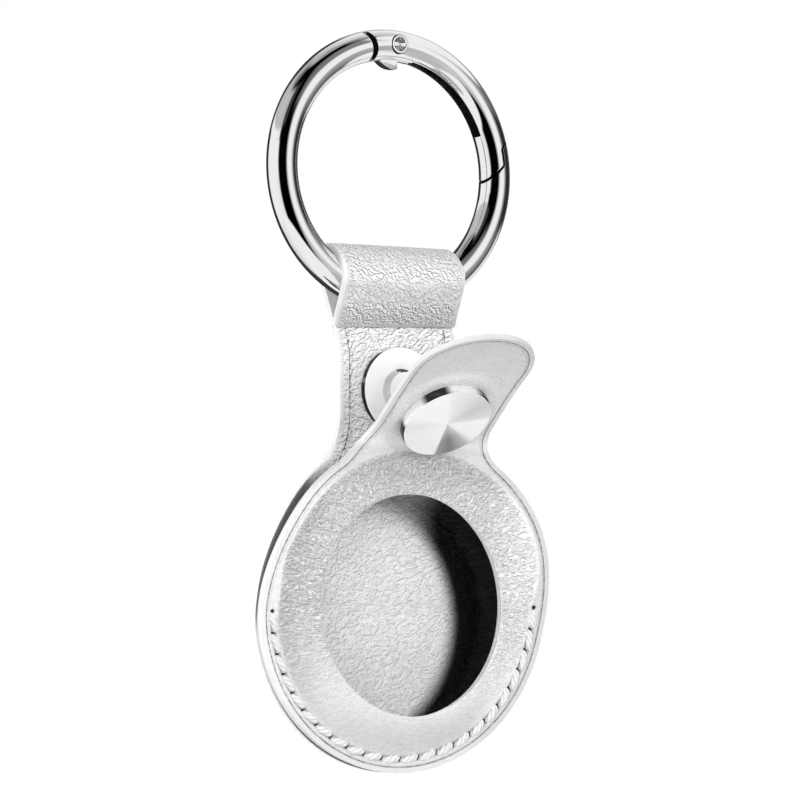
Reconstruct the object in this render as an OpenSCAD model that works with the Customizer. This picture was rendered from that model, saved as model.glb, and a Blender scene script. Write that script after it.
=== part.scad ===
// Tracker tag holder: a leather pouch for a coin-shaped tag, hung from a spring gate ring.
// The origin is the centre of the ring. +Z is up, and the front of the holder faces -Y.

/* [Ring] */
// Radius of the ring's centre line
ring_r = 15.47; // [13:0.01:19]
// Diameter of the ring's wire
wire_d = 3.84; // [3.4:0.02:4.2]
// Half the width of the hinge tongue and of the lug under it
tongue_half = 0.65; // [0.5:0.01:0.8]
// Radius of the hinge rivet's shank
rivet_r = 0.8; // [0.6:0.01:0.9]

/* [Loop] */
// Width of the strap that holds the ring, and of the neck below it
strap_w = 17.3; // [14:0.1:19]
// Room between the ring's wire and the loop's lining
loop_room = 0.58; // [0.53:0.01:0.9]
// Height of the centre of the loop's upper curve above the wire's centre line
loop_top_up = 2.87; // [2.6:0.01:2.95]
// Height of the centre of the loop's lower curve above the wire's centre line
loop_low_up = 0.07; // [0:0.01:0.25]
// Depth below the wire's centre line of the line where the loop ends on the neck
joint_below = 4.03; // [3.85:0.01:4.5]
// Thickness of the lining inside the loop
loop_lining_t = 0.6; // [0.4:0.05:0.7]

/* [Pouch] */
// Outer radius of the round pouch
pouch_r = 20.5; // [20:0.1:23]
// Depth of the pouch's centre below the ring's lowest wire
pouch_below = 38.28; // [37:0.02:41]
// Radius of the round window in the front
window_r = 13.4; // [12:0.1:13.8]
// Width of the flat margin outside the pressed domes
margin_w = 2.9; // [2.6:0.1:3.4]
// Forward distance of the front panel's middle layer at the pouch's centre
panel_f = 2.95; // [2.8:0.01:3.4]
// Forward lean of the front panel
panel_lean = 7; // [5:0.5:9]
// Forward distance of the window's rim
rim_f = 5.35; // [5.2:0.01:5.8]
// Forward lean of the window's rim
rim_lean = 2; // [1:0.25:3]
// Distance of the back dome's flat behind the ring's plane
back_flat_y = 3.5; // [3:0.05:4.5]
// Width of the back dome's sloping flank
back_flank_w = 2.8; // [2.4:0.1:3.4]

/* [Leather] */
// Thickness of the front leather
front_leather_t = 0.6; // [0.5:0.01:0.7]
// Thickness of the front lining
front_lining_t = 0.5; // [0.4:0.01:0.6]
// Thickness of the back cover's leather
cover_t = 0.5; // [0.4:0.01:0.6]
// Thickness of the facing inside the back
facing_t = 0.45; // [0.35:0.01:0.6]
// Radius of the curve from the neck to the pouch
neck_fillet_r = 11; // [8:0.5:14]

/* [Tab] */
// Half the width of the closing tab, and the radius of its round end
tab_half_w = 8.2; // [7:0.05:8.5]
// Distance from the fold to the tip of the tab
tab_len = 25.6; // [23:0.1:26]
// Distance from the pouch's centre to the fold, along the front panel
fold_up = 17.1; // [16.8:0.05:17.3]
// Lean of the open tab from upright
tab_lean = 51.5; // [30:0.5:60]
// Radius of the curve from the tab to the pouch
tab_fillet_r = 8; // [6:0.1:9]
// Room between the fold and the end of the front panel
fold_gap = 0.35; // [0.3:0.01:0.45]

/* [Snap] */
// Distance from the fold to the snap's centre
snap_up = 9.3; // [8.8:0.05:9.6]
// Radius of the cap on the outside of the tab
cap_r = 5.75; // [5:0.05:6.2]
// Height of the cap above the leather
cap_h = 1.1; // [0.9:0.05:1.4]
// Radius of the stud's flange
stud_r = 5.5; // [5:0.05:6]
// Thickness of the stud's flange
stud_flange_t = 0.7; // [0.5:0.01:0.8]
// Radius of the stud's boss where it leaves the flange
boss_r = 2.6; // [2.4:0.05:2.65]
// Height of the stud's boss
boss_h = 0.9; // [0.7:0.01:0.95]
// Outer radius of the socket inside the tab
socket_r = 5.2; // [4.6:0.05:5.6]
// Thickness of the socket
socket_t = 1.2; // [1.15:0.01:1.3]
// Radius of the posts that join the snap through the leather
post_r = 1.5; // [1.2:0.05:1.7]
// Radius of the rivet plate behind the neck
back_plate_r = 4.5; // [4:0.05:5.5]
// Thickness of the rivet plate behind the neck
back_plate_t = 0.5; // [0.4:0.01:0.7]

/* [Stitching] */
// Distance of the row of stitch holes from the pouch's edge
stitch_in = 1.7; // [1.3:0.05:1.9]
// Number of stitches
stitch_count = 22; // [16:1:24]
// Radius of the thread
thread_r = 0.33; // [0.2:0.01:0.36]

/* [Gate spring] */
// Outer radius of the coil that closes the gate
spring_r = 0.72; // [0.6:0.01:0.75]
// Radius of the spring's wire
spring_wire_r = 0.14; // [0.1:0.01:0.16]
// Number of turns in the gate spring
spring_turns = 7; // [4:1:7]

/* [Hidden] */
$fn = 96;
// Overrun of every cut past the face it leaves
over = 0.5;
// Running room of a pin in its hole, and of a post in the leather
run_gap = 0.06;
// Room between the two sides of a joint in the wire
wire_gap = 0.12;

// Ring and gate
wire_r = wire_d / 2;
rivet_angle = 88.4;
rivet_x = ring_r * cos(rivet_angle);
rivet_z = ring_r * sin(rivet_angle);
// Distance from the rivet to the slanted end of the gate
gate_end_r = 20.9;
// Half the angle of wire that the cuts at the gate's ends are taken from
end_spread = 12;
// Radius of the gate's rounded nose round the rivet, and the open gap between it and the frame
nose_r = 3.4;
hinge_gap = 0.6;
tongue_angle = 9;
// Radius round the rivet of the lug under the tongue, and the angles that it starts and ends at
lug_r = 2.95;
lug_back_angle = 2;
lug_ahead_angle = 11;
// Thickness of the frame's outer tongue at the latch
latch_t = 1.45;
latch_angle = 16.4;
// Distance from the rivet to the end of that tongue, an arc that the gate can turn past
latch_end_r = 19.37;
// Channel along the inside of the gate
channel_half = 0.95;
channel_depth = 2.35;
channel_start = 21;
channel_end = 78;
pocket_depth = 3.35;
pocket_start = 54;
// Heads of the hinge rivet
rivet_head_r = 1.05;
rivet_head_t = 0.62;
rivet_proud = 0.1;
// Depth of the dish in each rivet head and the width of the bezel round it
rivet_dish = 0.12;
rivet_bezel = 0.25;
// How far inside the faces of its heads the rivet's shank ends
shank_in = 0.25;

// Back sheet and neck
strap_half = strap_w / 2;
loop_in_r = wire_r + loop_room;
loop_top_drop = ring_r - loop_top_up;
loop_low_drop = ring_r - loop_low_up;
joint_drop = ring_r + joint_below;
pouch_drop = ring_r + pouch_below;
loop_cover_r = loop_in_r + loop_lining_t + cover_t;
back_front_f = panel_f - (front_leather_t + front_lining_t) / 2 / cos(panel_lean);
// Forward distance of the neck's face at the joint line
neck_joint_f = 1.2;
// Thickness of the front leaf where it is pared down at the joint line
pared_t = 0.75;
// Height above the joint line of the point where the space inside the loop closes
loop_point_up = 0.8;
loop_point_drop = joint_drop - loop_point_up;
loop_point_f = 0.85;
// Share of the pouch's radius that the back sheet's outline runs past its edge
past_share = 1.3;

// Front sheet and tab
panel_t = front_leather_t + front_lining_t;
fold_f = panel_f + fold_up * sin(panel_lean);
fold_z = -pouch_drop + fold_up * cos(panel_lean);
snap_z = fold_z + snap_up;
// Depth at which the neck starts to lean back towards the loop, just above the rivet plate
neck_lean_drop = -snap_z - back_plate_r;
dome_foot_r = pouch_r - margin_w;
back_flat_r = dome_foot_r - back_flank_w;
tab_end_up = tab_len - tab_half_w;
// Height of the rounded shoulder below the rim, and how far it stands out from the window
shoulder_drop = 0.4;
shoulder_out = 1.5;
lip_out = 0.5;
// Depth of the front dome's flank, and how far it spreads for each step of depth
dome_depth = 4.4;
flank_share = 1;

// Snap
boss_top_r = 2.2;
socket_bore_r = 2.9;
socket_base_t = 0.25;
snap_ring_t = 0.3;
snap_ring_w = 0.36;
snap_ring_room = 0.05;
snap_ring_gap_angle = 40;
cap_bevel = 0.28;
flange_bevel = 0.14;
plate_bevel = 0.2;

// Stitching
stitch_r = pouch_r - stitch_in;
stitch_from = 181;
stitch_to = 359;
// Share of its full thickness that the thread keeps at the holes
waist_share = 0.55;
thread_hole_r = thread_r;
thread_steps = 4;
thread_sides = 8;
sheets_t = panel_t + (cover_t + facing_t) * cos(panel_lean);

// Gate spring
spring_sides = 6;
spring_rings = 10;
spring_start_angle = 76.1;
spring_end_angle = 54.6;
// Share of the wire's radius that the coil lies inside the centre line
spring_in_share = 0.12;
spring_track_r = ring_r - spring_in_share * wire_r;

// Tools that the pieces share

// Turns a shape drawn in X and Y into the plane of X and Z, with its height along +Y from y
module upright(y, depth) {
    translate([0, y + depth, 0]) rotate([90, 0, 0]) linear_extrude(height = depth) children();
}

// Turns a section drawn as forward distance and height into a solid across the width w
module across(w) {
    rotate([90, 0, -90]) translate([0, 0, -w / 2]) linear_extrude(height = w) children();
}

// A length of the ring's wire between two angles, measured from +X towards +Z
module wire(from, to) {
    rotate([90, 0, 0]) rotate([0, 0, from]) rotate_extrude(angle = to - from)
        translate([ring_r, 0]) circle(r = wire_r);
}

// A box-shaped band round the ring between two angles and two radii
module band(from, to, r_in, r_out, half) {
    rotate([90, 0, 0]) rotate([0, 0, from]) rotate_extrude(angle = to - from)
        translate([r_in, -half]) square([r_out - r_in, 2 * half]);
}

// A disc along Y round the hinge rivet
module rivet_disc(r, half) {
    translate([rivet_x, half, rivet_z]) rotate([90, 0, 0]) cylinder(r = r, h = 2 * half);
}

// The front panel's own frame: its middle plane is the plane of X and Z
module in_panel() {
    translate([0, -panel_f, -pouch_drop]) rotate([panel_lean, 0, 0]) children();
}

// The tab's own frame: the fold is the X axis, and the tab runs along +Z
module in_tab() {
    translate([0, -fold_f, fold_z]) rotate([tab_lean, 0, 0]) children();
}

// A disc along Y from y to y + depth, with a hole or a slope if two radii are given
module disc(r1, r2, y, depth) {
    translate([0, y + depth, 0]) rotate([90, 0, 0]) cylinder(r1 = r2, r2 = r1, h = depth);
}

// The point where the tangent from p meets a circle round c, on the side given by 1 or -1
function tangent(c, r, p, side) =
    let (d = p - c, far = norm(d), turn = acos(r / far), base = atan2(d[1], d[0]))
    c + r * [cos(base + side * turn), sin(base + side * turn)];

// Ring pieces

module ring_frame() color("silver") difference() {
    union() {
        difference() {
            wire(rivet_angle - tongue_angle, 360 + latch_angle);
            // Room for the gate's nose and cheeks, on both sides of the tongue
            for (side = [-1, 1]) translate([0, side * (tongue_half + wire_r), 0]) {
                rivet_disc(nose_r + hinge_gap, wire_r);
                band(rivet_angle - 2 * tongue_angle, rivet_angle, ring_r - wire_d, ring_r + wire_d, wire_r);
            }
            // The slanted face that meets the gate, inside the outer tongue
            intersection() {
                rivet_disc(gate_end_r + wire_gap, wire_d);
                band(-end_spread, end_spread + latch_angle, ring_r - wire_d, ring_r + wire_r - latch_t, wire_d);
            }
            // The end of the outer tongue
            intersection() {
                rivet_disc(latch_end_r, wire_d);
                band(0, end_spread + latch_angle, ring_r, ring_r + wire_d, wire_d);
            }
        }
        // Lug under the tongue, which the spring pushes on
        intersection() {
            rivet_disc(lug_r, tongue_half);
            band(rivet_angle - lug_back_angle, rivet_angle + lug_ahead_angle, ring_r - wire_d, ring_r, tongue_half);
        }
    }
    rivet_disc(rivet_r, wire_d);
}

module ring_gate() color("silver") difference() {
    intersection() {
        wire(-end_spread, rivet_angle + 2 * end_spread);
        rivet_disc(gate_end_r, wire_d);
    }
    // Round nose at the hinge
    difference() {
        band(rivet_angle, rivet_angle + 3 * end_spread, ring_r - wire_d, ring_r + wire_d, wire_d);
        rivet_disc(nose_r, 2 * wire_d);
    }
    // Fork for the tongue
    rivet_disc(nose_r + wire_gap, tongue_half + run_gap);
    // Relief under the frame's outer tongue
    difference() {
        band(-2 * end_spread, end_spread + latch_angle, ring_r + wire_r - latch_t - wire_gap, 2 * ring_r, wire_d);
        rivet_disc(latch_end_r - wire_gap, 2 * wire_d);
    }
    // Channel along the inside, deeper where the spring lies
    band(channel_start, channel_end, ring_r - wire_d, ring_r - wire_r + channel_depth, channel_half);
    band(pocket_start, channel_end, ring_r - wire_d, ring_r - wire_r + pocket_depth, channel_half);
    // Hole for the rivet and seats for its heads
    rivet_disc(rivet_r + run_gap, wire_d);
    for (side = [-1, 1])
        translate([0, side * (wire_r + rivet_proud - rivet_head_t + wire_r), 0])
            rivet_disc(rivet_head_r + run_gap, wire_r + run_gap);
}

module gate_rivet() color("gainsboro") difference() {
    union() {
        rivet_disc(rivet_r, wire_r + rivet_proud - shank_in);
        for (side = [-1, 1])
            translate([0, side * (wire_r + rivet_proud - rivet_head_t / 2), 0])
                rivet_disc(rivet_head_r, rivet_head_t / 2);
    }
    for (side = [-1, 1])
        translate([0, side * (wire_r + rivet_proud), 0])
            rivet_disc(rivet_head_r - rivet_bezel, rivet_dish);
}

// The points of one ring of the coil, at turn share u of its length
function coil_centre(u) =
    let (a = spring_start_angle, b = spring_end_angle,
         p = spring_track_r * [cos(a), 0, sin(a)], q = spring_track_r * [cos(b), 0, sin(b)],
         along = (q - p) / norm(q - p), side = [0, 1, 0], out = cross(along, side),
         room = spring_wire_r / norm(q - p), t = room + u * (1 - 2 * room),
         turn = 360 * spring_turns * u, lie = spring_r - spring_wire_r)
    p + t * (q - p) + lie * (cos(turn) * side + sin(turn) * out);

coil_steps = spring_turns * spring_rings;
coil_points = [for (i = [0:coil_steps]) coil_centre(i / coil_steps)];

function coil_ring(i) =
    let (last = len(coil_points) - 1,
         ahead = coil_points[min(i + 1, last)] - coil_points[max(i - 1, 0)], way = ahead / norm(ahead),
         side = cross(way, [0, 1, 0]) / norm(cross(way, [0, 1, 0])), up = cross(way, side))
    [for (k = [0:spring_sides - 1])
        coil_points[i] + spring_wire_r * (cos(360 * k / spring_sides) * side + sin(360 * k / spring_sides) * up)];

// The least distance between turns of the coil, from points at least half a turn apart
coil_gap = min([for (i = [0:coil_steps - spring_rings]) for (j = [i + spring_rings / 2:coil_steps])
    norm(coil_points[i] - coil_points[j])]) - 2 * spring_wire_r;
echo(coil_gap = coil_gap);

module gate_spring() color("dimgray")
    polyhedron(
        points = [for (i = [0:coil_steps]) each coil_ring(i)],
        faces = concat(
            [for (i = [0:coil_steps - 1]) for (k = [0:spring_sides - 1]) for (half = [0, 1])
                let (a = i * spring_sides + k, b = i * spring_sides + (k + 1) % spring_sides)
                half == 0 ? [a, a + spring_sides, b] : [b, a + spring_sides, b + spring_sides]],
            [[for (k = [0:spring_sides - 1]) k]],
            [[for (k = [spring_sides - 1:-1:0]) coil_steps * spring_sides + k]]));

// Outlines

// The curve between a straight strap of half width half and the round pouch, on both sides
module fillets(half, r, centre) {
    rise = sqrt(pow(pouch_r + r, 2) - pow(half + r, 2));
    for (side = [-1, 1]) translate([0, centre]) scale([side, 1]) difference() {
        polygon([[0, 0], [half + r, rise] * pouch_r / (pouch_r + r), [half, rise], [0, rise]]);
        translate([half + r, rise]) circle(r = r);
    }
}

module back_outline() {
    translate([0, -pouch_drop]) circle(r = pouch_r);
    fillets(strap_half, neck_fillet_r, -pouch_drop);
    translate([-strap_half, -pouch_drop]) square([strap_w, pouch_drop]);
}

module tab_outline() {
    intersection() {
        union() {
            translate([0, tab_end_up]) circle(r = tab_half_w);
            translate([-tab_half_w, -over - fold_up]) square([2 * tab_half_w, fold_up + over + tab_end_up]);
            fillets(tab_half_w, tab_fillet_r, -fold_up);
        }
        translate([-pouch_r, 0]) square([2 * pouch_r, tab_len]);
    }
}

// Sections across the back sheet, as forward distance and height

function sheet_line(back) = [
    [neck_joint_f - back, -joint_drop],
    [back_front_f - back, -neck_lean_drop],
    [back_front_f - back, -pouch_drop],
    [back_front_f - back - past_share * pouch_r * tan(panel_lean), -pouch_drop - past_share * pouch_r]];

module sheet_section(front, back)
    polygon(concat(sheet_line(front), [for (i = [3:-1:0]) sheet_line(back)[i]]));

// A teardrop round the ring's wire, closed towards the points a in front and b behind
module loop_section(r, a, b) {
    low = [0, -loop_low_drop];
    translate([0, -loop_top_drop]) circle(r = r);
    translate(low) circle(r = r);
    translate([-r, -loop_low_drop]) square([2 * r, loop_low_drop - loop_top_drop]);
    polygon([low, tangent(low, r, a, 1), a, b, tangent(low, r, b, -1)]);
}

loop_point = [loop_point_f, -loop_point_drop];
module loop_space_section() loop_section(loop_in_r, loop_point, loop_point);
module loop_lining_section() {
    foot = -joint_drop;
    loop_section(loop_in_r + loop_lining_t, [neck_joint_f + pared_t / 2, foot], [neck_joint_f - facing_t, foot]);
}
module loop_cover_section() {
    foot = -joint_drop;
    loop_section(loop_cover_r, [neck_joint_f + pared_t, foot], [neck_joint_f - facing_t - cover_t, foot]);
}

// Pressed domes

// The solid under the front dome, moved back by back
module front_form(back)
    translate([0, back - rim_f, -pouch_drop]) rotate([rim_lean, 0, 0]) rotate([-90, 0, 0])
        rotate_extrude() polygon([
            [0, 0], [window_r + lip_out, 0], [window_r + shoulder_out, shoulder_drop],
            [window_r + shoulder_out + dome_depth * flank_share, shoulder_drop + dome_depth],
            [0, shoulder_drop + dome_depth]]);

// The solid under the back dome, moved forward by ahead
module back_form(ahead)
    translate([0, -ahead, -pouch_drop])
        disc(dome_foot_r, back_flat_r, cover_t + facing_t - back_front_f, back_flat_y - cover_t - facing_t + back_front_f);

module stitch_holes() in_panel() for (i = [0:stitch_count]) stitch_place(i)
    disc(thread_hole_r, thread_hole_r, -panel_t / 2 - over, sheets_t + 2 * over, $fn = 24);

module stitch_place(i) {
    turn = stitch_from + i * (stitch_to - stitch_from) / stitch_count;
    translate([stitch_r * cos(turn), 0, stitch_r * sin(turn)]) children();
}

module snap_hole_in_neck()
    translate([0, 0, snap_z]) disc(post_r + run_gap, post_r + run_gap, -pouch_r, 2 * pouch_r);

// Back pieces

module back_cover() color("whitesmoke") difference() {
    union() {
        difference() {
            intersection() {
                union() {
                    across(2 * pouch_r) sheet_section(facing_t, facing_t + cover_t);
                    across(2 * pouch_r) loop_cover_section();
                }
                upright(-2 * pouch_r, 4 * pouch_r) back_outline();
            }
            across(3 * pouch_r) loop_lining_section();
            across(3 * pouch_r) sheet_section(-pouch_r, facing_t);
            back_form(cover_t);
        }
        difference() {
            back_form(0);
            back_form(cover_t);
            across(3 * pouch_r) sheet_section(-pouch_r, facing_t);
        }
    }
    stitch_holes();
    snap_hole_in_neck();
}

module back_facing() color("white") difference() {
    union() {
        difference() {
            intersection() {
                across(2 * pouch_r) sheet_section(0, facing_t);
                upright(-2 * pouch_r, 4 * pouch_r) back_outline();
            }
            back_form(cover_t + facing_t);
        }
        difference() {
            back_form(cover_t);
            back_form(cover_t + facing_t);
            across(3 * pouch_r) sheet_section(-pouch_r, facing_t);
        }
    }
    stitch_holes();
    snap_hole_in_neck();
}

module loop_lining() color("white") intersection() {
    difference() {
        across(2 * strap_w) loop_lining_section();
        across(3 * strap_w) loop_space_section();
        across(3 * strap_w) sheet_section(0, facing_t);
    }
    upright(-2 * pouch_r, 4 * pouch_r) back_outline();
}

// Front pieces

module front_sheet(front, depth) difference() {
    union() {
        difference() {
            in_panel() upright(front, depth) circle(r = pouch_r);
            front_form(front + depth + panel_t / 2);
        }
        difference() {
            front_form(front + panel_t / 2);
            front_form(front + depth + panel_t / 2);
            in_panel() disc(pouch_r, pouch_r, front + depth, 2 * pouch_r);
        }
    }
    // Window
    translate([0, 0, -pouch_drop]) rotate([rim_lean, 0, 0]) disc(window_r, window_r, -2 * pouch_r, 4 * pouch_r);
    // Groove that the fold turns in
    translate([-pouch_r, -fold_f, fold_z]) rotate([0, 90, 0]) cylinder(r = panel_t / 2 + fold_gap, h = 2 * pouch_r);
    in_panel() translate([-pouch_r, -pouch_r, fold_up]) cube(2 * pouch_r);
    stitch_holes();
}

module front_panel() color("whitesmoke") front_sheet(-panel_t / 2, front_leather_t);
module front_lining() color("white") front_sheet(-panel_t / 2 + front_leather_t, front_lining_t);

module tab_sheet(front, depth) in_tab() difference() {
    union() {
        upright(front, depth) tab_outline();
        // Round end in the fold
        intersection() {
            fold_half = sqrt(pow(pouch_r, 2) - pow(fold_up, 2));
            translate([-fold_half, 0, 0]) rotate([0, 90, 0]) cylinder(r = panel_t / 2, h = 2 * fold_half);
            translate([-pouch_r, front, -panel_t]) cube([2 * pouch_r, depth, 2 * panel_t]);
        }
    }
    translate([0, 0, snap_up]) disc(post_r + run_gap, post_r + run_gap, -panel_t, 2 * panel_t);
}

module tab_leather() color("whitesmoke") tab_sheet(-panel_t / 2, front_leather_t);
module tab_lining() color("white") tab_sheet(-panel_t / 2 + front_leather_t, front_lining_t);

// Stitching: a thread along the front and one along the back, plump between the holes

// The thickness of the thread at share u of a stitch
function thread_at(u) = thread_r * (waist_share + (1 - waist_share) * sin(180 * (u - floor(u))));

// A ring of points round the thread at stitch position u, on the face at y, swelling towards side
function thread_ring(u, y, side) =
    let (turn = stitch_from + u * (stitch_to - stitch_from) / stitch_count, r = thread_at(u),
         out = [cos(turn), 0, sin(turn)], up = [0, side, 0])
    [for (k = [0:thread_sides - 1]) let (a = 360 * (k + 1 / 2) / thread_sides)
        stitch_r * out + (y + side * r) * [0, 1, 0] + r * (cos(a) * out + sin(a) * up)];

module thread_line(y, side) {
    steps = stitch_count * thread_steps;
    points = [for (i = [0:steps]) each thread_ring(i / thread_steps, y, side)];
    flip = side > 0;
    walls = [for (i = [0:steps - 1]) for (k = [0:thread_sides - 1]) for (half = [0, 1])
        let (a = i * thread_sides + k, b = i * thread_sides + (k + 1) % thread_sides)
        half == 0 ? [a, a + thread_sides, b] : [b, a + thread_sides, b + thread_sides]];
    ends = [[for (k = [0:thread_sides - 1]) k],
            [for (k = [thread_sides - 1:-1:0]) steps * thread_sides + k]];
    faces = concat(walls, ends);
    polyhedron(points = points, faces = flip ? [for (f = faces) [for (n = [len(f) - 1:-1:0]) f[n]]] : faces);
}

module stitch_thread() color("whitesmoke") in_panel() {
    thread_line(-panel_t / 2, -1);
    thread_line(panel_t / 2 + (cover_t + facing_t) * cos(panel_lean), 1);
}

// Snap pieces

// A round plate along Y from y to y + depth whose outer edge is bevelled on the side facing -Y
module bevelled_plate(r, y, depth, bevel) {
    disc(r - bevel, r, y, bevel);
    disc(r, r, y + bevel, depth - bevel);
}

module snap_cap() color("gainsboro") in_tab() translate([0, 0, snap_up]) {
    bevelled_plate(cap_r, -panel_t / 2 - cap_h, cap_h, cap_bevel);
    disc(post_r, post_r, -panel_t / 2 - cap_h / 2, cap_h / 2 + panel_t);
}

module snap_socket() color("silver") in_tab() translate([0, 0, snap_up]) difference() {
    disc(socket_r, socket_r - cap_bevel, panel_t / 2, socket_t);
    disc(socket_bore_r, socket_bore_r, panel_t / 2 + socket_base_t, socket_t);
    disc(socket_bore_r + snap_ring_w, socket_bore_r + snap_ring_w,
         panel_t / 2 + socket_base_t, snap_ring_t + 2 * snap_ring_room);
}

module socket_spring() color("darkgray") in_tab() translate([0, 0, snap_up])
    translate([0, panel_t / 2 + socket_base_t + snap_ring_room + snap_ring_t, 0]) rotate([90, 0, 0])
        rotate([0, 0, 90 + snap_ring_gap_angle / 2]) rotate_extrude(angle = 360 - snap_ring_gap_angle)
            translate([socket_bore_r - snap_ring_room, 0]) square([snap_ring_w, snap_ring_t]);

module snap_stud() color("gainsboro") translate([0, -back_front_f, snap_z]) {
    bevelled_plate(stud_r, -stud_flange_t, stud_flange_t, flange_bevel);
    disc(boss_top_r, boss_r, -stud_flange_t - boss_h, boss_h);
}

module snap_post() color("silver") translate([0, -back_front_f, snap_z]) {
    disc(post_r, post_r, 0, facing_t + cover_t);
    translate([0, facing_t + cover_t, 0]) rotate([0, 0, 180])
        translate([0, -back_plate_t, 0]) bevelled_plate(back_plate_r, 0, back_plate_t, plate_bevel);
}

ring_frame();
gate_rivet();
ring_gate();
gate_spring();
back_cover();
back_facing();
loop_lining();
front_panel();
front_lining();
stitch_thread();
snap_stud();
snap_post();
tab_leather();
tab_lining();
snap_cap();
snap_socket();
socket_spring();
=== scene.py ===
"""A white leather tag holder on a chromed spring gate ring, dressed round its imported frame."""

from math import atan2, cos, degrees, floor, hypot, pi, radians, sin, sqrt, tan
from types import SimpleNamespace

import bpy
from mathutils import Matrix, Vector, kdtree
from mathutils.geometry import delaunay_2d_cdt


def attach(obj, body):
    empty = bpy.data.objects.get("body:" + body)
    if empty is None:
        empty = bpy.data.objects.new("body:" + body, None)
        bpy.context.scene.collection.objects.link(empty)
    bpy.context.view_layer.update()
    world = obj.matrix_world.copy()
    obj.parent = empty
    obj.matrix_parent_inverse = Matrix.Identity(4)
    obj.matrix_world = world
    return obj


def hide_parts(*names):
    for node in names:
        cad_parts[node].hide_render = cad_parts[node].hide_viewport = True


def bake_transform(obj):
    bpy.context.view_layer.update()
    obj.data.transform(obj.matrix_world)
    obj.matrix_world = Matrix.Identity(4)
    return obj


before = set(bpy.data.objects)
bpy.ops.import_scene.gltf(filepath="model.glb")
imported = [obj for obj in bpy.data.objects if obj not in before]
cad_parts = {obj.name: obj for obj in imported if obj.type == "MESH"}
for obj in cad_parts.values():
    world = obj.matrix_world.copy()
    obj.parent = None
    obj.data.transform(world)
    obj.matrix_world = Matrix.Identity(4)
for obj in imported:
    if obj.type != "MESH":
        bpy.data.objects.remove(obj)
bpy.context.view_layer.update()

# Sizes in millimetres, as in the part; the scene is in metres
MM = 0.001
ring_r = 15.47
wire_r = 1.92
rivet_angle = 88.4
rivet_x = ring_r * cos(radians(rivet_angle))
rivet_z = ring_r * sin(radians(rivet_angle))
wire_gap = 0.12
tongue_half = 0.65
gate_end_r = 20.9
nose_r = 3.4
lug_r = 2.95
latch_t = 1.45
latch_angle = 16.4
latch_end_r = 19.37

pouch_r = 20.5
pouch_z = -53.75
window_r = 13.4
dome_foot_r = 17.6
front_foot_r = 18.25
panel_f = 2.95
panel_lean = 7
rim_f = 5.35
rim_lean = 2
rim_yaw = 0.045
front_leather_t = 0.6
front_lining_t = 0.5
panel_t = front_leather_t + front_lining_t
fold_up = 17.1
tab_lean = 51.5
tab_half_w = 8.2
tab_fillet_r = 8
snap_up = 9.3
fold_f = panel_f + fold_up * sin(radians(panel_lean))
fold_z = pouch_z + fold_up * cos(radians(panel_lean))
snap_z = fold_z + snap_up

strap_half = 8.65
cover_t = 0.5
facing_t = 0.45
neck_fillet_r = 11
back_front_f = panel_f - panel_t / 2 / cos(radians(panel_lean))
neck_lean_z = -22.98
neck_joint_f = 1.2
joint_z = -19.5
back_flat_y = 3.5
back_flat_r = 14.8
loop_lining_t = 0.6
# Length of the back's strap from the window's centre to the end of the loop
loop_top_s = 59.5

stitch_r = 18.8
stitch_from = 184.5
stitch_to = 361.5
stitch_count = 22

# Small helpers

def deselect():
    if bpy.context.mode != "OBJECT":
        bpy.ops.object.mode_set(mode="OBJECT")
    bpy.ops.object.select_all(action="DESELECT")


def active(piece):
    deselect()
    piece.select_set(True)
    bpy.context.view_layer.objects.active = piece


def apply_modifiers(piece):
    active(piece)
    for modifier in list(piece.modifiers):
        bpy.ops.object.modifier_apply(modifier=modifier.name)


def in_edit(piece, *steps):
    """Runs each step in edit mode on the whole mesh."""
    active(piece)
    bpy.ops.object.mode_set(mode="EDIT")
    bpy.ops.mesh.select_all(action="SELECT")
    for step in steps:
        step()
    bpy.ops.object.mode_set(mode="OBJECT")


def seat(piece):
    """Moves an object's place into its mesh."""
    active(piece)
    bpy.ops.object.transform_apply(location=True, rotation=True, scale=True)


def smooth(piece, angle=35):
    active(piece)
    bpy.ops.object.shade_smooth_by_angle(angle=radians(angle))


def dress(piece, name, body, materials, replaces=()):
    piece.name = name
    piece.data.name = name
    piece.data.materials.clear()
    for material in materials:
        piece.data.materials.append(material)
    if body:
        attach(piece, body)
    if replaces:
        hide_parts(*replaces)
    return piece


def step(t):
    t = min(1.0, max(0.0, t))
    return t * t * (3 - 2 * t)


def mix(a, b, t):
    return a + (b - a) * t


def place(x, f, z):
    """A point given by its width, forward distance and height, in metres."""
    return Vector((x * MM, -f * MM, z * MM))


def linked(name, mesh):
    """Puts a finished mesh in the scene."""
    piece = bpy.data.objects.new(name, mesh)
    bpy.context.collection.objects.link(piece)
    return piece


def joined(pieces):
    deselect()
    for piece in pieces:
        piece.select_set(True)
    bpy.context.view_layer.objects.active = pieces[0]
    bpy.ops.object.join()
    return bpy.context.active_object

# Node building

def node_material(name):
    material = bpy.data.materials.new(name)
    material.use_nodes = True
    nodes = material.node_tree.nodes
    nodes.clear()
    out = nodes.new("ShaderNodeOutputMaterial")
    shader = nodes.new("ShaderNodeBsdfPrincipled")
    material.node_tree.links.new(shader.outputs[0], out.inputs[0])
    return material, material.node_tree, shader


def add(tree, kind, **values):
    made = tree.nodes.new(kind)
    for key, value in values.items():
        if key in made.inputs:
            made.inputs[key].default_value = value
        else:
            setattr(made, key, value)
    return made


def join(tree, output, socket):
    tree.links.new(output, socket)


def sums(tree, operation, a, b=None, c=None, clamp=False):
    """A maths node whose inputs are numbers or sockets."""
    made = tree.nodes.new("ShaderNodeMath")
    made.operation = operation
    made.use_clamp = clamp
    for i, value in enumerate((a, b, c)):
        if value is None:
            continue
        if isinstance(value, (int, float)):
            made.inputs[i].default_value = value
        else:
            join(tree, value, made.inputs[i])
    return made.outputs[0]


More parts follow.
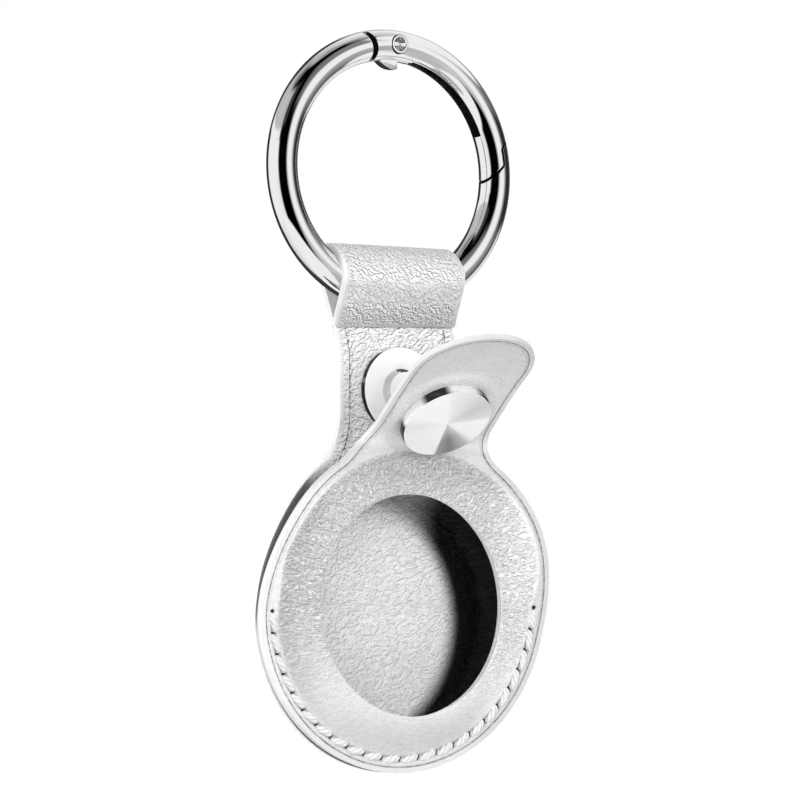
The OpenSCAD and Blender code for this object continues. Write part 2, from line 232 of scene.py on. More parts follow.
def times(tree, *values):
    """The product of several numbers or sockets."""
    total = values[0]
    for value in values[1:]:
        total = sums(tree, "MULTIPLY", total, value)
    return total


def lowered(tree, mask, share):
    """1 where the mask is 0, and less by the share where the mask is 1."""
    return sums(tree, "MULTIPLY_ADD", mask, -share, 1.0)


def vectors(tree, operation, a, b=None, scale=None):
    """A vector maths node. b is a fixed vector or a socket."""
    made = add(tree, "ShaderNodeVectorMath", operation=operation)
    join(tree, a, made.inputs[0])
    if isinstance(b, tuple):
        made.inputs[1].default_value = b
    elif b is not None:
        join(tree, b, made.inputs[1])
    if scale is not None:
        join(tree, scale, made.inputs["Scale"])
    return made.outputs["Value" if operation in ("LENGTH", "DISTANCE") else "Vector"]


def axes(tree, vector):
    """The three parts of a vector."""
    split = add(tree, "ShaderNodeSeparateXYZ")
    join(tree, vector, split.inputs[0])
    return split.outputs


def object_place(tree):
    return add(tree, "ShaderNodeTexCoord").outputs["Object"]


def noise(tree, place_, **values):
    made = add(tree, "ShaderNodeTexNoise", **values)
    join(tree, place_, made.inputs["Vector"])
    return made.outputs["Fac"]


def ramp(tree, value, low, high, to_low=0.0, to_high=1.0):
    """A value mapped from one range to another, eased and held at its ends."""
    made = tree.nodes.new("ShaderNodeMapRange")
    made.interpolation_type = "SMOOTHSTEP"
    if isinstance(value, (int, float)):
        made.inputs["Value"].default_value = value
    else:
        join(tree, value, made.inputs["Value"])
    for key, number in (("From Min", low), ("From Max", high), ("To Min", to_low), ("To Max", to_high)):
        if isinstance(number, (int, float)):
            made.inputs[key].default_value = number
        else:
            join(tree, number, made.inputs[key])
    return made.outputs["Result"]


def shade(tree, factor, dark, light):
    """A colour between two greys or colours."""
    made = tree.nodes.new("ShaderNodeMix")
    made.data_type = "RGBA"
    join(tree, factor, made.inputs["Factor"])
    made.inputs[6].default_value = (*dark, 1)
    made.inputs[7].default_value = (*light, 1)
    return made.outputs[2]


def new_group(name, inputs, outputs):
    group = bpy.data.node_groups.new(name, "ShaderNodeTree")
    for label, kind, value in inputs:
        socket = group.interface.new_socket(name=label, in_out="INPUT", socket_type=kind)
        if value is not None:
            socket.default_value = value
    for label, kind in outputs:
        group.interface.new_socket(name=label, in_out="OUTPUT", socket_type=kind)
    return group, group.nodes.new("NodeGroupInput"), group.nodes.new("NodeGroupOutput")


def use_group(tree, group, **values):
    made = tree.nodes.new("ShaderNodeGroup")
    made.node_tree = group
    for key, value in values.items():
        label = key.replace("_", " ")
        if hasattr(value, "is_linked"):
            join(tree, value, made.inputs[label])
        else:
            made.inputs[label].default_value = value
    return made


def tones(tree, value, stops):
    """Greys by a value from 0 to 1, from (place, tone) stops."""
    made = tree.nodes.new("ShaderNodeValToRGB")
    elements = made.color_ramp.elements
    for element, (where, tone) in zip(elements, (stops[0], stops[-1])):
        element.position = where
        element.color = (tone, tone, tone, 1)
    for where, tone in stops[1:-1]:
        elements.new(where).color = (tone, tone, tone, 1)
    join(tree, value, made.inputs[0])
    return made.outputs[0]


def blend_tone(tree, factor, a, b):
    """A mix of two greys, each a number or a colour output."""
    made = tree.nodes.new("ShaderNodeMix")
    made.data_type = "RGBA"
    join(tree, factor, made.inputs["Factor"])
    for i, value in ((6, a), (7, b)):
        if isinstance(value, (int, float)):
            made.inputs[i].default_value = (value, value, value, 1)
        else:
            join(tree, value, made.inputs[i])
    return made.outputs[2]


def attribute(tree, name):
    made = tree.nodes.new("ShaderNodeAttribute")
    made.attribute_name = name
    return made


def bump(tree, height, depth_mm, shader, below=None):
    made = add(tree, "ShaderNodeBump", Strength=1.0)
    made.inputs["Distance"].default_value = depth_mm * MM
    join(tree, height, made.inputs["Height"])
    if below is not None:
        join(tree, below, made.inputs["Normal"])
    if shader is not None:
        join(tree, made.outputs[0], shader.inputs["Normal"])
    return made.outputs[0]


# Shared effects

# Where the grain is looked at a second time, in millimetres, to find which way its sides face
lit_shift = (0.07, -0.09, 0)


def grain_group():
    """Pressed leather grain: small drawn-out pebbles of a given size in millimetres.

    Light is painted light and shade for the pebbles' sides: over a half where a pebble slopes down
    to the lower right, and under it on the far side.
    """
    group, given, made = new_group(
        "leather grain",
        (("Place", "NodeSocketVector", None), ("Cell", "NodeSocketFloat", 0.5),
         ("Stretch", "NodeSocketFloat", 0.5), ("Angle", "NodeSocketFloat", 0.0)),
        (("Height", "NodeSocketFloat"), ("Light", "NodeSocketFloat")))
    rate = sums(group, "DIVIDE", 1.0, given.outputs["Cell"])
    heights = []
    for shift in ((0, 0, 0), lit_shift):
        rotated = add(group, "ShaderNodeVectorRotate", rotation_type="Z_AXIS")
        join(group, vectors(group, "ADD", given.outputs["Place"], shift), rotated.inputs["Vector"])
        join(group, given.outputs["Angle"], rotated.inputs["Angle"])
        factors = add(group, "ShaderNodeCombineXYZ", Y=1.0, Z=1.0)
        join(group, given.outputs["Stretch"], factors.inputs[0])
        drawn = vectors(group, "MULTIPLY", rotated.outputs[0], factors.outputs[0])
        coarse = add(group, "ShaderNodeTexNoise", Detail=1.0, Roughness=0.5, Distortion=0.8)
        join(group, drawn, coarse.inputs["Vector"])
        join(group, rate, coarse.inputs["Scale"])
        cells = add(group, "ShaderNodeTexVoronoi", feature="DISTANCE_TO_EDGE")
        join(group, drawn, cells.inputs["Vector"])
        join(group, times(group, rate, 1.1), cells.inputs["Scale"])
        worms = ramp(group, coarse.outputs["Fac"], 0.34, 0.62)
        pebbles = ramp(group, cells.outputs["Distance"], 0.0, 0.34)
        heights.append(sums(group, "MULTIPLY_ADD", pebbles, 0.3, times(group, worms, 0.7)))
    slope = sums(group, "SUBTRACT", heights[0], heights[1])
    join(group, heights[0], made.inputs["Height"])
    join(group, sums(group, "MULTIPLY_ADD", slope, 1.0, 0.5, clamp=True), made.inputs["Light"])
    return group


def line_group():
    """A pressed line at a set distance from a cut edge, and the glint on its inner side: a raised
    strip that also takes a painted highlight.
    """
    group, given, made = new_group(
        "pressed line",
        (("Edge", "NodeSocketFloat", 0.0), ("Inset", "NodeSocketFloat", 0.85),
         ("Width", "NodeSocketFloat", 0.1)),
        (("Line", "NodeSocketFloat"), ("Glint", "NodeSocketFloat")))
    width = given.outputs["Width"]
    beside = sums(group, "SUBTRACT", given.outputs["Edge"], given.outputs["Inset"])
    shifted = sums(group, "SUBTRACT", beside, times(group, width, 2.0))
    for label, away in (("Line", beside), ("Glint", shifted)):
        join(group, ramp(group, sums(group, "ABSOLUTE", away), 0.0, width, 1.0, 0.0), made.inputs[label])
    return group


def streak_group():
    """Fine wrinkles that run out from a centre."""
    group, given, made = new_group(
        "radial wrinkles",
        (("Place", "NodeSocketVector", None), ("Fineness", "NodeSocketFloat", 26.0)),
        (("Height", "NodeSocketFloat"),))
    spot = given.outputs["Place"]
    far = vectors(group, "LENGTH", spot)
    wide = vectors(group, "SCALE", vectors(group, "NORMALIZE", spot), scale=given.outputs["Fineness"])
    lift = add(group, "ShaderNodeCombineXYZ")
    join(group, times(group, far, 1.1), lift.inputs[2])
    wrinkles = noise(group, vectors(group, "ADD", wide, lift.outputs[0]), Scale=1.0, Detail=4.0, Roughness=0.6)
    join(group, ramp(group, wrinkles, 0.35, 0.65), made.inputs["Height"])
    return group


GRAIN = grain_group()
LINE = line_group()
STREAK = streak_group()


# Materials

# How deep a pressed line lies below the open leather, in the mask that paints shade into it
line_weight = 3.4


def leather(name, cell, depth, tint, tone=0.86, crease=0.0, stretch=0.6, angle=0, lit=0.0,
            worked_and_shaded=None, painted_shade=None):
    """Coated white leather with a grain of the given cell size and depth in millimetres.

    tint is how much darker the valleys are, lit how strongly light and shade are painted on the
    pebbles' sides, and crease the inset of the pressed line from the cut edge. The piece's own
    functions press its leather and paint light and shade on it, and paint shade into its colour.
    """
    material, tree, shader = node_material(name)
    look = SimpleNamespace(normal=None)
    look.flat = attribute(tree, "cut_mm").outputs["Vector"]
    look.across, look.up, _ = axes(tree, look.flat)
    edge = attribute(tree, "edge_mm").outputs["Fac"]
    grain = use_group(tree, GRAIN, Place=look.flat, Cell=cell, Stretch=stretch, Angle=radians(angle))
    pores = noise(tree, look.flat, Scale=9.0, Detail=3.0, Roughness=0.65)
    cloud = noise(tree, look.flat, Scale=0.22, Detail=3.0)
    height = sums(tree, "MULTIPLY_ADD", pores, 0.25, grain.outputs["Height"])
    height = times(tree, height, ramp(tree, edge, 0.0, 0.6, 0.12, 1.0))
    # The mask is 1 on open leather and falls below 0 in pressed lines, where it paints shade
    look.mask = ramp(tree, height, 0.15, 0.75)
    look.shaded = ramp(tree, cloud, 0.3, 0.7, 0.96, 1.0)
    # The pebbles' painted light and shade, fading towards the cut edge
    look.sides = times(tree, sums(tree, "SUBTRACT", grain.outputs["Light"], 0.5), ramp(tree, edge, 0.3, 0.9))
    if worked_and_shaded:
        worked_and_shaded(tree, look)
    if crease:
        line = use_group(tree, LINE, Edge=edge, Inset=crease, Width=0.13)
        raised = times(tree, line.outputs["Glint"], 0.45)
        groove = sums(tree, "MULTIPLY_ADD", line.outputs["Line"], -1.0, raised)
        look.normal = bump(tree, groove, 0.14, None, look.normal)
        # Painted shade in the pressed line, and a painted highlight on the glint beside it
        look.mask = sums(tree, "MULTIPLY_ADD", line.outputs["Line"], -line_weight, look.mask)
        look.mask = sums(tree, "MULTIPLY_ADD", line.outputs["Glint"], 1.0, look.mask)
    look.base = blend_tone(tree, sums(tree, "ADD", look.mask, 0.0, clamp=True), tone * (1 - tint), tone)
    look.base = blend_tone(tree, ramp(tree, look.mask, -line_weight, 0.0, 1.0, 0.0), look.base, tone * 0.38)
    if painted_shade:
        painted_shade(tree, look)
    # Painted light and shade on the pebbles: lit sides go towards white and shaded sides towards grey
    relief = sums(tree, "MULTIPLY_ADD", look.sides, lit, 1.0)
    colour = vectors(tree, "SCALE", look.base, scale=times(tree, look.shaded, relief))
    join(tree, colour, shader.inputs["Base Color"])
    join(tree, ramp(tree, height, 0.1, 0.9, 0.6, 0.42), shader.inputs["Roughness"])
    shader.inputs["Specular IOR Level"].default_value = 0.35
    bump(tree, height, depth, shader, look.normal)
    return material


def worked_and_shaded_front(tree, look):
    """Wrinkles round the pressed dome and puckers at the snap, with painted light and shade on the dome,
    the tab and in the stitches' bed and holes.
    """
    rim = attribute(tree, "rim_mm").outputs["Fac"]
    lip = ramp(tree, rim, 0.0, 0.25)
    # The dome reaches further out in the upper half
    rim = sums(tree, "SUBTRACT", rim, ramp(tree, look.up, 0.0, 6.0, 0.0, 0.85))
    on_dome = times(tree, lip, ramp(tree, rim, 4.3, 5.0, 1.0, 0.0), ramp(tree, look.up, -14.0, 0.0, 0.15, 1.0))
    wrinkles = use_group(tree, STREAK, Place=look.flat, Fineness=40.0).outputs["Height"]
    lie = times(tree, wrinkles, on_dome)
    look.sides = times(tree, look.sides, sums(tree, "MULTIPLY_ADD", on_dome, 0.78, 0.22))
    look.normal = bump(tree, lie, 0.24, None)
    # Painted shade over the dome, lighter on the wrinkles' ridges than in their valleys
    look.mask = sums(tree, "MULTIPLY_ADD", on_dome, -0.2, look.mask)
    look.mask = sums(tree, "MULTIPLY_ADD", lie, 1.0, look.mask)
    puckers = use_group(tree, STREAK, Place=attribute(tree, "snap_vec").outputs["Vector"], Fineness=15.0)
    near = attribute(tree, "snap_mm").outputs["Fac"]
    pull = times(tree, ramp(tree, near, 5.8, 7.9, 1.0, 0.0), puckers.outputs["Height"])
    look.normal = bump(tree, pull, 0.04, None, look.normal)
    # Painted shade: the dome a touch darker than the flat margin, most at its foot on the left and the top.
    # On the right, painted light on the dome's slope and painted shade on the margin beyond it.
    inner = ramp(tree, rim, 4.62, 4.92, 1.0, 0.0)
    foot = times(tree, inner, ramp(tree, rim, 0.4, 4.6))
    left = times(tree, ramp(tree, look.across, -15.0, -9.0, 1.0, 0.0), foot)
    top = times(tree, ramp(tree, look.up, 12.0, 17.5), ramp(tree, look.up, 18.6, 20.0, 1.0, 0.0))
    side = sums(tree, "MAXIMUM", left, times(tree, top, 1.1))
    right = times(tree, ramp(tree, look.across, 9.0, 16.0), ramp(tree, rim, 4.6, 5.2, 0.26, -0.2))
    # Painted shade in the bed beside the stitches, where the pull of the thread presses the leather
    row = sums(tree, "ABSOLUTE", sums(tree, "SUBTRACT", vectors(tree, "LENGTH", look.flat), stitch_r))
    bed_shade = times(tree, ramp(tree, row, 0.3, 0.62, 1.0, 0.0), ramp(tree, look.up, -2.6, -1.5, 1.0, 0.0))
    hole = attribute(tree, "hole_mm").outputs["Fac"]
    # Painted shade on the tab and at the dome's bottom, and near black in the stitch holes
    look.shaded = times(
        tree, look.shaded, lowered(tree, inner, 0.07), lowered(tree, side, 0.2),
        ramp(tree, look.up, 20.5, 23.0, 1.0, 0.86), ramp(tree, look.up, -16.0, -11.0, 0.9, 1.0),
        sums(tree, "ADD", right, 1.0), lowered(tree, bed_shade, 0.42), ramp(tree, hole, 0.2, 0.36, 0.02, 1.0))


def painted_shade_back(tree, look):
    """The loop's front leaf: painted shade below the bend and more towards its end, with the grain's
    painted relief calmed in a band between.
    """
    def leaf(low, high, to_low=0.0, to_high=1.0):
        return ramp(tree, look.up, loop_top_s - low, loop_top_s - high, to_low, to_high)

    look.shaded = times(tree, look.shaded, leaf(7.2, 5.2, 1.0, 0.78), leaf(4.5, 1.0, 1.0, 0.86))
    calm = sums(tree, "MAXIMUM", leaf(7.6, 6.2, 1.0, 0.35), leaf(4.4, 3.4))
    look.sides = times(tree, look.sides, times(tree, calm, leaf(13.6, 11.6, 0.4, 1.0)))


def painted_shade_facing(tree, look):
    """The facing's painted grain relief is flatter in the pocket than on the neck, with painted shade
    darker towards the pocket's foot and painted light on the neck.
    """
    look.sides = times(tree, look.sides, ramp(tree, look.up, 15.0, 18.0, 0.6, 1.15))
    look.shaded = times(tree, look.shaded, ramp(tree, look.up, -13.0, 1.0, 0.84, 0.94),
                        ramp(tree, look.up, 12.0, 18.0, 1.0, 1.06))


def painted_shade_pocket(tree, look):
    """Painted shadow of the rim deep in the pocket, from ambient occlusion and a fixed shape, most on
    the right, and painted shade at the mouth.
    """
    hollow = add(tree, "ShaderNodeAmbientOcclusion", samples=8, only_local=False)
    hollow.inputs["Distance"].default_value = 14 * MM
    pocket_shade = ramp(tree, hollow.outputs["AO"], 0.06, 0.3, 1.0, 0.0)
    from_left = vectors(tree, "DISTANCE", look.flat, (-5.1, -1.5, 0))
    pocket_shade = sums(tree, "MAXIMUM", pocket_shade, ramp(tree, from_left, 14.3, 17.1))
    corner = times(tree, ramp(tree, look.across, 4.0, 9.0, 1.0, 0.0), ramp(tree, look.up, 5.5, 9.0))
    pocket_shade = times(tree, pocket_shade, lowered(tree, corner, 0.5), ramp(tree, look.up, 15.0, 18.0, 1.0, 0.0))
    look.base = blend_tone(tree, pocket_shade, look.base, 0.006)
    mouth_shade = times(tree, ramp(tree, look.across, -15.0, -13.0, 1.0, 0.0), ramp(tree, look.up, -5.0, -1.0),
                  ramp(tree, look.up, 14.0, 19.0, 1.0, 0.0))
    look.base = blend_tone(tree, mouth_shade, look.base, 0.13)


def cut_edge(name, tone, window=False, mouth_shade=False):
    """The painted cut edge of the leather: smooth, with faint fibres along it.

    The window flag paints shade on the right side of the window's edge, where the pocket's shade falls,
    and the mouth flag paints shade on the edge between the sheets at the pocket's open side.
    """
    material, tree, shader = node_material(name)
    fibres = noise(tree, object_place(tree), Scale=2200.0, Detail=3.0)
    tone = ramp(tree, fibres, 0.3, 0.7, tone - 0.04, tone + 0.04)
    if window:
        across, up, _ = axes(tree, attribute(tree, "cut_mm").outputs["Vector"])
        near = ramp(tree, attribute(tree, "rim_mm").outputs["Fac"], 0.4, 1.0, 1.0, 0.0)
        tone = blend_tone(tree, times(tree, near, ramp(tree, across, 0.5, 6.0)), tone, 0.01)
        if mouth_shade:
            high = times(tree, ramp(tree, up, -4.0, -1.0), ramp(tree, up, 15, 18, 1, 0))
            deep_shade = times(tree, ramp(tree, across, -15.0, -10.0, 1.0, 0.0), high)
            tone = blend_tone(tree, deep_shade, tone, 0.12)
        shader.inputs["Specular IOR Level"].default_value = 0.1
    join(tree, tone, shader.inputs["Base Color"])
    shader.inputs["Roughness"].default_value = 0.45
    bump(tree, fibres, 0.02, shader)
    return material


def thread_finish():
    """Twisted thread: fine fibres wound along each strand, with painted shade between the strands."""
    material, tree, shader = node_material("waxed_thread")
    fibres = noise(tree, object_place(tree), Scale=5200.0, Detail=2.0)
    ply_shade = ramp(tree, attribute(tree, "ply").outputs["Fac"], 0.0, 0.5, 0.35, 1.0)
    tone = times(tree, ply_shade, ramp(tree, fibres, 0.2, 0.7, 0.8, 1.0))
    join(tree, shade(tree, tone, (0.3, 0.3, 0.3), (0.88, 0.88, 0.88)), shader.inputs["Base Color"])
    shader.inputs["Roughness"].default_value = 0.62
    bump(tree, fibres, 0.03, shader)
    return material


def plated(name, tone=0.86, rough=0.05):
    """Bright plating with a trace of handling marks in its gloss."""
    material, tree, shader = node_material(name)
    marks = noise(tree, object_place(tree), Scale=300.0, Detail=4.0, Roughness=0.65)
    join(tree, ramp(tree, marks, 0.35, 0.75, rough, rough * 1.9), shader.inputs["Roughness"])
    colour = shade(tree, marks, (tone * 0.97,) * 3, (tone, tone, tone * 1.004))
    join(tree, colour, shader.inputs["Base Color"])
    shader.inputs["Metallic"].default_value = 1.0
    return material


def turns(*stops):
    """Stops given in degrees, as shares of a turn."""
    return [(a / 360, tone) for a, tone in stops]


def spun_face():
    """Metal turned on a lathe: fine rings, and painted reflections in sectors that meet at the centre."""
    material, tree, shader = node_material("spun_cap_face")
    far = attribute(tree, "from_axis_mm").outputs["Fac"]
    painted_sectors = tones(tree, attribute(tree, "turn").outputs["Fac"], turns(
        (0, 0.97), (10, 1.0), (20, 0.74), (45, 0.62), (80, 0.82), (108, 0.92), (115, 1.0), (170, 1.0),
        (192, 0.88), (215, 0.97), (260, 1.0), (277, 0.97), (281, 0.34), (300, 0.2), (322, 0.5),
        (333, 0.93), (345, 0.98), (360, 0.97)))
    curve = blend_tone(tree, ramp(tree, far, 0.0, 3.4, 0.5, 1.0), 0.98, painted_sectors)
    rings = add(tree, "ShaderNodeTexNoise", Scale=1.0, Detail=3.0, Roughness=0.7)
    rings.noise_dimensions = "1D"
    join(tree, times(tree, far, 22.0), rings.inputs["W"])
    soft = tree.nodes.new("ShaderNodeMix")
    soft.data_type = "RGBA"
    soft.blend_type = "MULTIPLY"
    join(tree, ramp(tree, rings.outputs["Fac"], 0.3, 0.7, 0.0, 0.14), soft.inputs["Factor"])
    join(tree, curve, soft.inputs[6])
    soft.inputs[7].default_value = (0.72, 0.72, 0.72, 1)
    join(tree, soft.outputs[2], shader.inputs["Base Color"])
    join(tree, ramp(tree, rings.outputs["Fac"], 0.2, 0.8, 0.3, 0.42), shader.inputs["Roughness"])
    shader.inputs["Metallic"].default_value = 0.15
    bump(tree, rings.outputs["Fac"], 0.012, shader)
    return material


def banded(name, stops, metallic, rough):
    """Polished metal with broad painted reflections fixed to its turn round the axis."""
    material, tree, shader = node_material(name)
    wear = noise(tree, object_place(tree), Scale=420.0, Detail=4.0, Roughness=0.65)
    band = tones(tree, attribute(tree, "turn").outputs["Fac"], stops)
    colour = blend_tone(tree, ramp(tree, wear, 0.4, 0.8, 0.0, 0.12), band, 0.5)
    join(tree, colour, shader.inputs["Base Color"])
    join(tree, ramp(tree, wear, 0.35, 0.75, rough, rough * 1.6), shader.inputs["Roughness"])
    shader.inputs["Metallic"].default_value = metallic
    shader.inputs["Specular IOR Level"].default_value = 0.12
    return material


def hammered():
    """The rivet's centre, struck into small bright facets."""
    material, tree, shader = node_material("struck_rivet")
    here = add(tree, "ShaderNodeTexCoord")
    cells = add(tree, "ShaderNodeTexVoronoi", Scale=3600.0)
    join(tree, here.outputs["Object"], cells.inputs["Vector"])
    height = add(tree, "ShaderNodeSeparateColor")
    join(tree, cells.outputs["Color"], height.inputs[0])
    tone = shade(tree, height.outputs[0], (0.16, 0.16, 0.17), (0.95, 0.95, 0.95))
    join(tree, tone, shader.inputs["Base Color"])
    shader.inputs["Metallic"].default_value = 1.0
    join(tree, ramp(tree, height.outputs[1], 0.0, 1.0, 0.08, 0.3), shader.inputs["Roughness"])
    bump(tree, cells.outputs["Distance"], 0.16, shader)
    return material


FRONT_LEATHER = leather("front_leather", 0.4, 0.05, 0.04, tone=0.88, crease=0.7, angle=20, lit=0.75,
                        worked_and_shaded=worked_and_shaded_front)
BACK_LEATHER = leather("back_leather", 0.36, 0.2, 0.05, tone=0.98, stretch=0.85, angle=-40, lit=1.5,
                       worked_and_shaded=painted_shade_back)
FACING_LEATHER = leather("facing_leather", 0.46, 0.2, 0.05, tone=0.93, crease=1.45, stretch=0.65, angle=-30,
                         lit=1.0, worked_and_shaded=painted_shade_facing, painted_shade=painted_shade_pocket)
LINING_LEATHER = leather("lining_leather", 0.5, 0.05, 0.1)
EDGE = cut_edge("painted_edge", 0.72)
FRONT_EDGE = cut_edge("front_edge", 0.84, window=True)
LINING_EDGE = cut_edge("lining_edge", 0.8, window=True, mouth_shade=True)
THREAD = thread_finish()
CHROME = plated("ring_plating")
SNAP_METAL = plated("snap_plating", tone=0.9, rough=0.12)
# Dark plating on the cut faces inside the wire: painted shade and dark reflection
SHADED_CUT_METAL = plated("cut_plating_painted_shade", tone=0.16, rough=0.25)
SPRING = plated("spring_wire", tone=0.012, rough=0.6)
SPUN = spun_face()
STRUCK = hammered()
# Painted reflections by turn round the snap's faces and walls
SNAP_FACE = banded("snap_face", ((0.0, 1.0), (0.3, 1.0), (0.6, 0.97), (1.0, 1.0)), 0.05, 0.4)
STUD_WALL = banded("stud_wall", turns(
    (0, 0.5), (48, 0.3), (56, 0.1), (82, 0.2), (92, 0.9), (118, 0.9), (126, 0.02), (163, 0.02), (168, 0.35),
    (173, 0.02), (222, 0.02), (230, 0.7), (360, 0.5)), 0.6, 0.2)
BOSS_WALL = banded("boss_wall", turns(
    (0, 0.9), (52, 0.9), (58, 0.05), (66, 0.6), (72, 0.05), (106, 0.05), (112, 0.8), (118, 0.6), (150, 0.55),
    (230, 0.75), (250, 0.97), (360, 0.9)), 0.1, 0.35)
CAP_WALL = banded("cap_wall", turns(
    (0, 0.8), (40, 0.8), (50, 0.02), (62, 0.05), (76, 0.95), (108, 1.0), (117, 0.02), (142, 0.02), (151, 0.9),
    (186, 1.0), (192, 0.02), (214, 0.02), (222, 0.8), (360, 0.8)), 0.6, 0.18)


# Leather sheets

def arc(cx, cy, r, a0, a1, gap):
    """Points on an arc from a0 to a1 degrees, both ends included, at most gap apart."""
    count = max(2, int(abs(radians(a1 - a0)) * r / gap) + 1)
    return [(cx + r * cos(radians(mix(a0, a1, i / count))), cy + r * sin(radians(mix(a0, a1, i / count))))
            for i in range(count + 1)]


def strap_outline(half, fillet, top, inset, gap, round_end):
    """Half of a round pouch with a strap that leaves it upwards, from the bottom to the top, mirrored."""
    rise = sqrt((pouch_r + fillet) ** 2 - (half + fillet) ** 2)
    meet = degrees(atan2(rise, half + fillet))
    right = arc(0, 0, pouch_r - inset, -90, meet, gap)
    right += arc(half + fillet, rise, fillet + inset, 180 + meet, 180, gap)[1:]
    if round_end:
        end = arc(0, top - half, half - inset, 0, 90, gap)
    else:
        end = [(half - inset, top - inset)]
        end += [((half - inset) * (1 - i * gap / half), top - inset) for i in range(1, int(half / gap))]
        end.append((0, top - inset))
    low = right[-1]
    steps = max(1, int((end[0][1] - low[1]) / gap))
    right += [(low[0], mix(low[1], end[0][1], i / steps)) for i in range(1, steps)]
    right += end
    return right + [(-x, y) for x, y in reversed(right[1:-1])]


def stitch_holes():
    turned_by = [radians(mix(stitch_from, stitch_to, i / stitch_count)) for i in range(stitch_count + 1)]
    return [(stitch_r * cos(a), stitch_r * sin(a)) for a in turned_by]


def inside(loop, x, y):
    """True if a point lies inside a closed loop."""
    hit = False
    for (ax, ay), (bx, by) in zip(loop, loop[1:] + loop[:1]):
        if (ay > y) != (by > y) and x < (bx - ax) * (y - ay) / (by - ay) + ax:
            hit = not hit
    return hit


# Distance between the rows of a sheet's points, as a share of that along a row
row_share = 0.866
# Radii and numbers of the points that stand round a stitch hole, and the room kept round them
hole_rings = ((0.22, 8), (0.42, 10), (0.7, 12))
hole_room = 0.95


def search_tree(points):
    """Finds the nearest of some flat points."""
    made = kdtree.KDTree(len(points))
    for i, (x, y) in enumerate(points):
        made.insert((x, y, 0), i)
    made.balance()
    return made


def grid_points(outline, taken, grid, holes):
    """Staggered rows of points over the outline's box, clear of the loops and the stitch holes."""
    xs = [p[0] for p in outline]
    ys = [p[1] for p in outline]
    made = []
    for j in range(int((max(ys) - min(ys)) / (grid * row_share)) + 1):
        y = min(ys) + j * grid * row_share
        for i in range(int((max(xs) - min(xs)) / grid) + 1):
            x = min(xs) + (i + 0.5 * (j % 2)) * grid
            if taken.find((x, y, 0))[2] < grid * 0.55:
                continue
            if all(hypot(x - hx, y - hy) >= hole_room for hx, hy in holes):
                made.append(Vector((x, y)))
    return made


def kept_faces(flat, faces, outline, border, grid, window):
    """The triangles that lie inside the outline and outside the window."""
    kept = []
    cells = {}
    for face in faces:
        cx = sum(flat[i].x for i in face) / 3
        cy = sum(flat[i].y for i in face) / 3
        near = border.find((cx, cy, 0))[2]
        if near < 2 * grid and not inside(outline, cx, cy):
            continue
        if near >= 2 * grid:
            # Far from the edge, all of a square millimetre lies on the same side
            key = (floor(cx), floor(cy))
            if key not in cells:
                cells[key] = inside(outline, key[0] + 0.5, key[1] + 0.5) if near > 1.5 else None
            within = cells[key] if cells[key] is not None else inside(outline, cx, cy)
            if not within:
                continue
        if window and hypot(cx, cy) < hypot(*window[0]) * 0.9995:
            if hypot(cx, cy) < min(hypot(*p) for p in window) or inside(window, cx, cy):
                continue
        kept.append(face)
    return kept


def mark_sheet(mesh, flat, worked_edge, holes):
    """Keeps each point's place on the flat leather, and its distances, for the leather's finish
    and its painted shade.
    """
    values = {
        "edge_mm": [worked_edge.find((p.x, p.y, 0))[2] for p in flat],
        "rim_mm": [hypot(p.x, p.y) - window_r for p in flat],
        "hole_mm": [min((hypot(p.x - hx, p.y - hy) for hx, hy in holes), default=9.0) for p in flat],
        "snap_mm": [hypot(p.x, p.y - tab_s - snap_up) for p in flat]}
    for label, numbers in values.items():
        mesh.attributes.new(label, "FLOAT", "POINT").data.foreach_set("value", numbers)
    for label, low in (("cut_mm", 0.0), ("snap_vec", tab_s + snap_up)):
        places = [v for p in flat for v in (p.x, p.y - low, 0.0)]
        mesh.attributes.new(label, "FLOAT_VECTOR", "POINT").data.foreach_set("vector", places)


def cut_sheet(name, outlines, window_rings, grid, surface, holes=(), free_top=99.0):
    """A sheet cut flat and shaped by surface(x, s). The first outline is the cut edge.

    Above free_top the edge isn't worked, so it has no pressed line beside it.
    """
    points, edges = [], []
    for loop in (*outlines, *window_rings):
        first = len(points)
        points.extend(Vector(p) for p in loop)
        edges.extend((first + i, first + (i + 1) % len(loop)) for i in range(len(loop)))
    outline = outlines[0]
    taken = search_tree(points)
    for hx, hy in holes:
        points.append(Vector((hx, hy)))
        for r, count in hole_rings:
            points.extend(Vector((hx + r * cos(2 * pi * k / count), hy + r * sin(2 * pi * k / count)))
                          for k in range(count))
    points.extend(grid_points(outline, taken, grid, holes))
    flat, _, faces, _, _, _ = delaunay_2d_cdt(points, edges, [], 0, 1e-6)
    window = window_rings[0] if window_rings else None
    kept = kept_faces(flat, faces, outline, search_tree(outline), grid, window)
    mesh = bpy.data.meshes.new(name)
    mesh.from_pydata([surface(p.x, p.y) for p in flat], [], kept)
    mark_sheet(mesh, flat, search_tree([p for p in outline if p[1] < free_top]), holes)
    piece = linked(name, mesh)
    in_edit(piece, lambda: bpy.ops.mesh.delete_loose())
    return piece

def thicken(piece, thickness, bevel=0.1, shares=None):
    """Gives a sheet its thickness behind its face, with a softened cut edge."""
    solid = piece.modifiers.new("thickness", "SOLIDIFY")
    if shares:
        group = piece.vertex_groups.new(name="share")
        flat = piece.data.attributes["cut_mm"].data
        for i, point in enumerate(flat):
            group.add([i], shares(point.vector.x, point.vector.y), "REPLACE")
        solid.vertex_group = "share"
    solid.thickness = thickness * MM
    solid.offset = -1
    solid.material_offset_rim = 1
    solid.use_even_offset = True
    apply_modifiers(piece)
    mesh = piece.data
    rim_faces = {f.index for f in mesh.polygons if f.material_index == 1}
    round_off = piece.modifiers.new("soft_edge", "BEVEL")
    round_off.width = bevel * MM
    round_off.segments = 2
    round_off.limit_method = "ANGLE"
    round_off.angle_limit = radians(60)
    if rim_faces:
        apply_modifiers(piece)
    smooth(piece, 50)


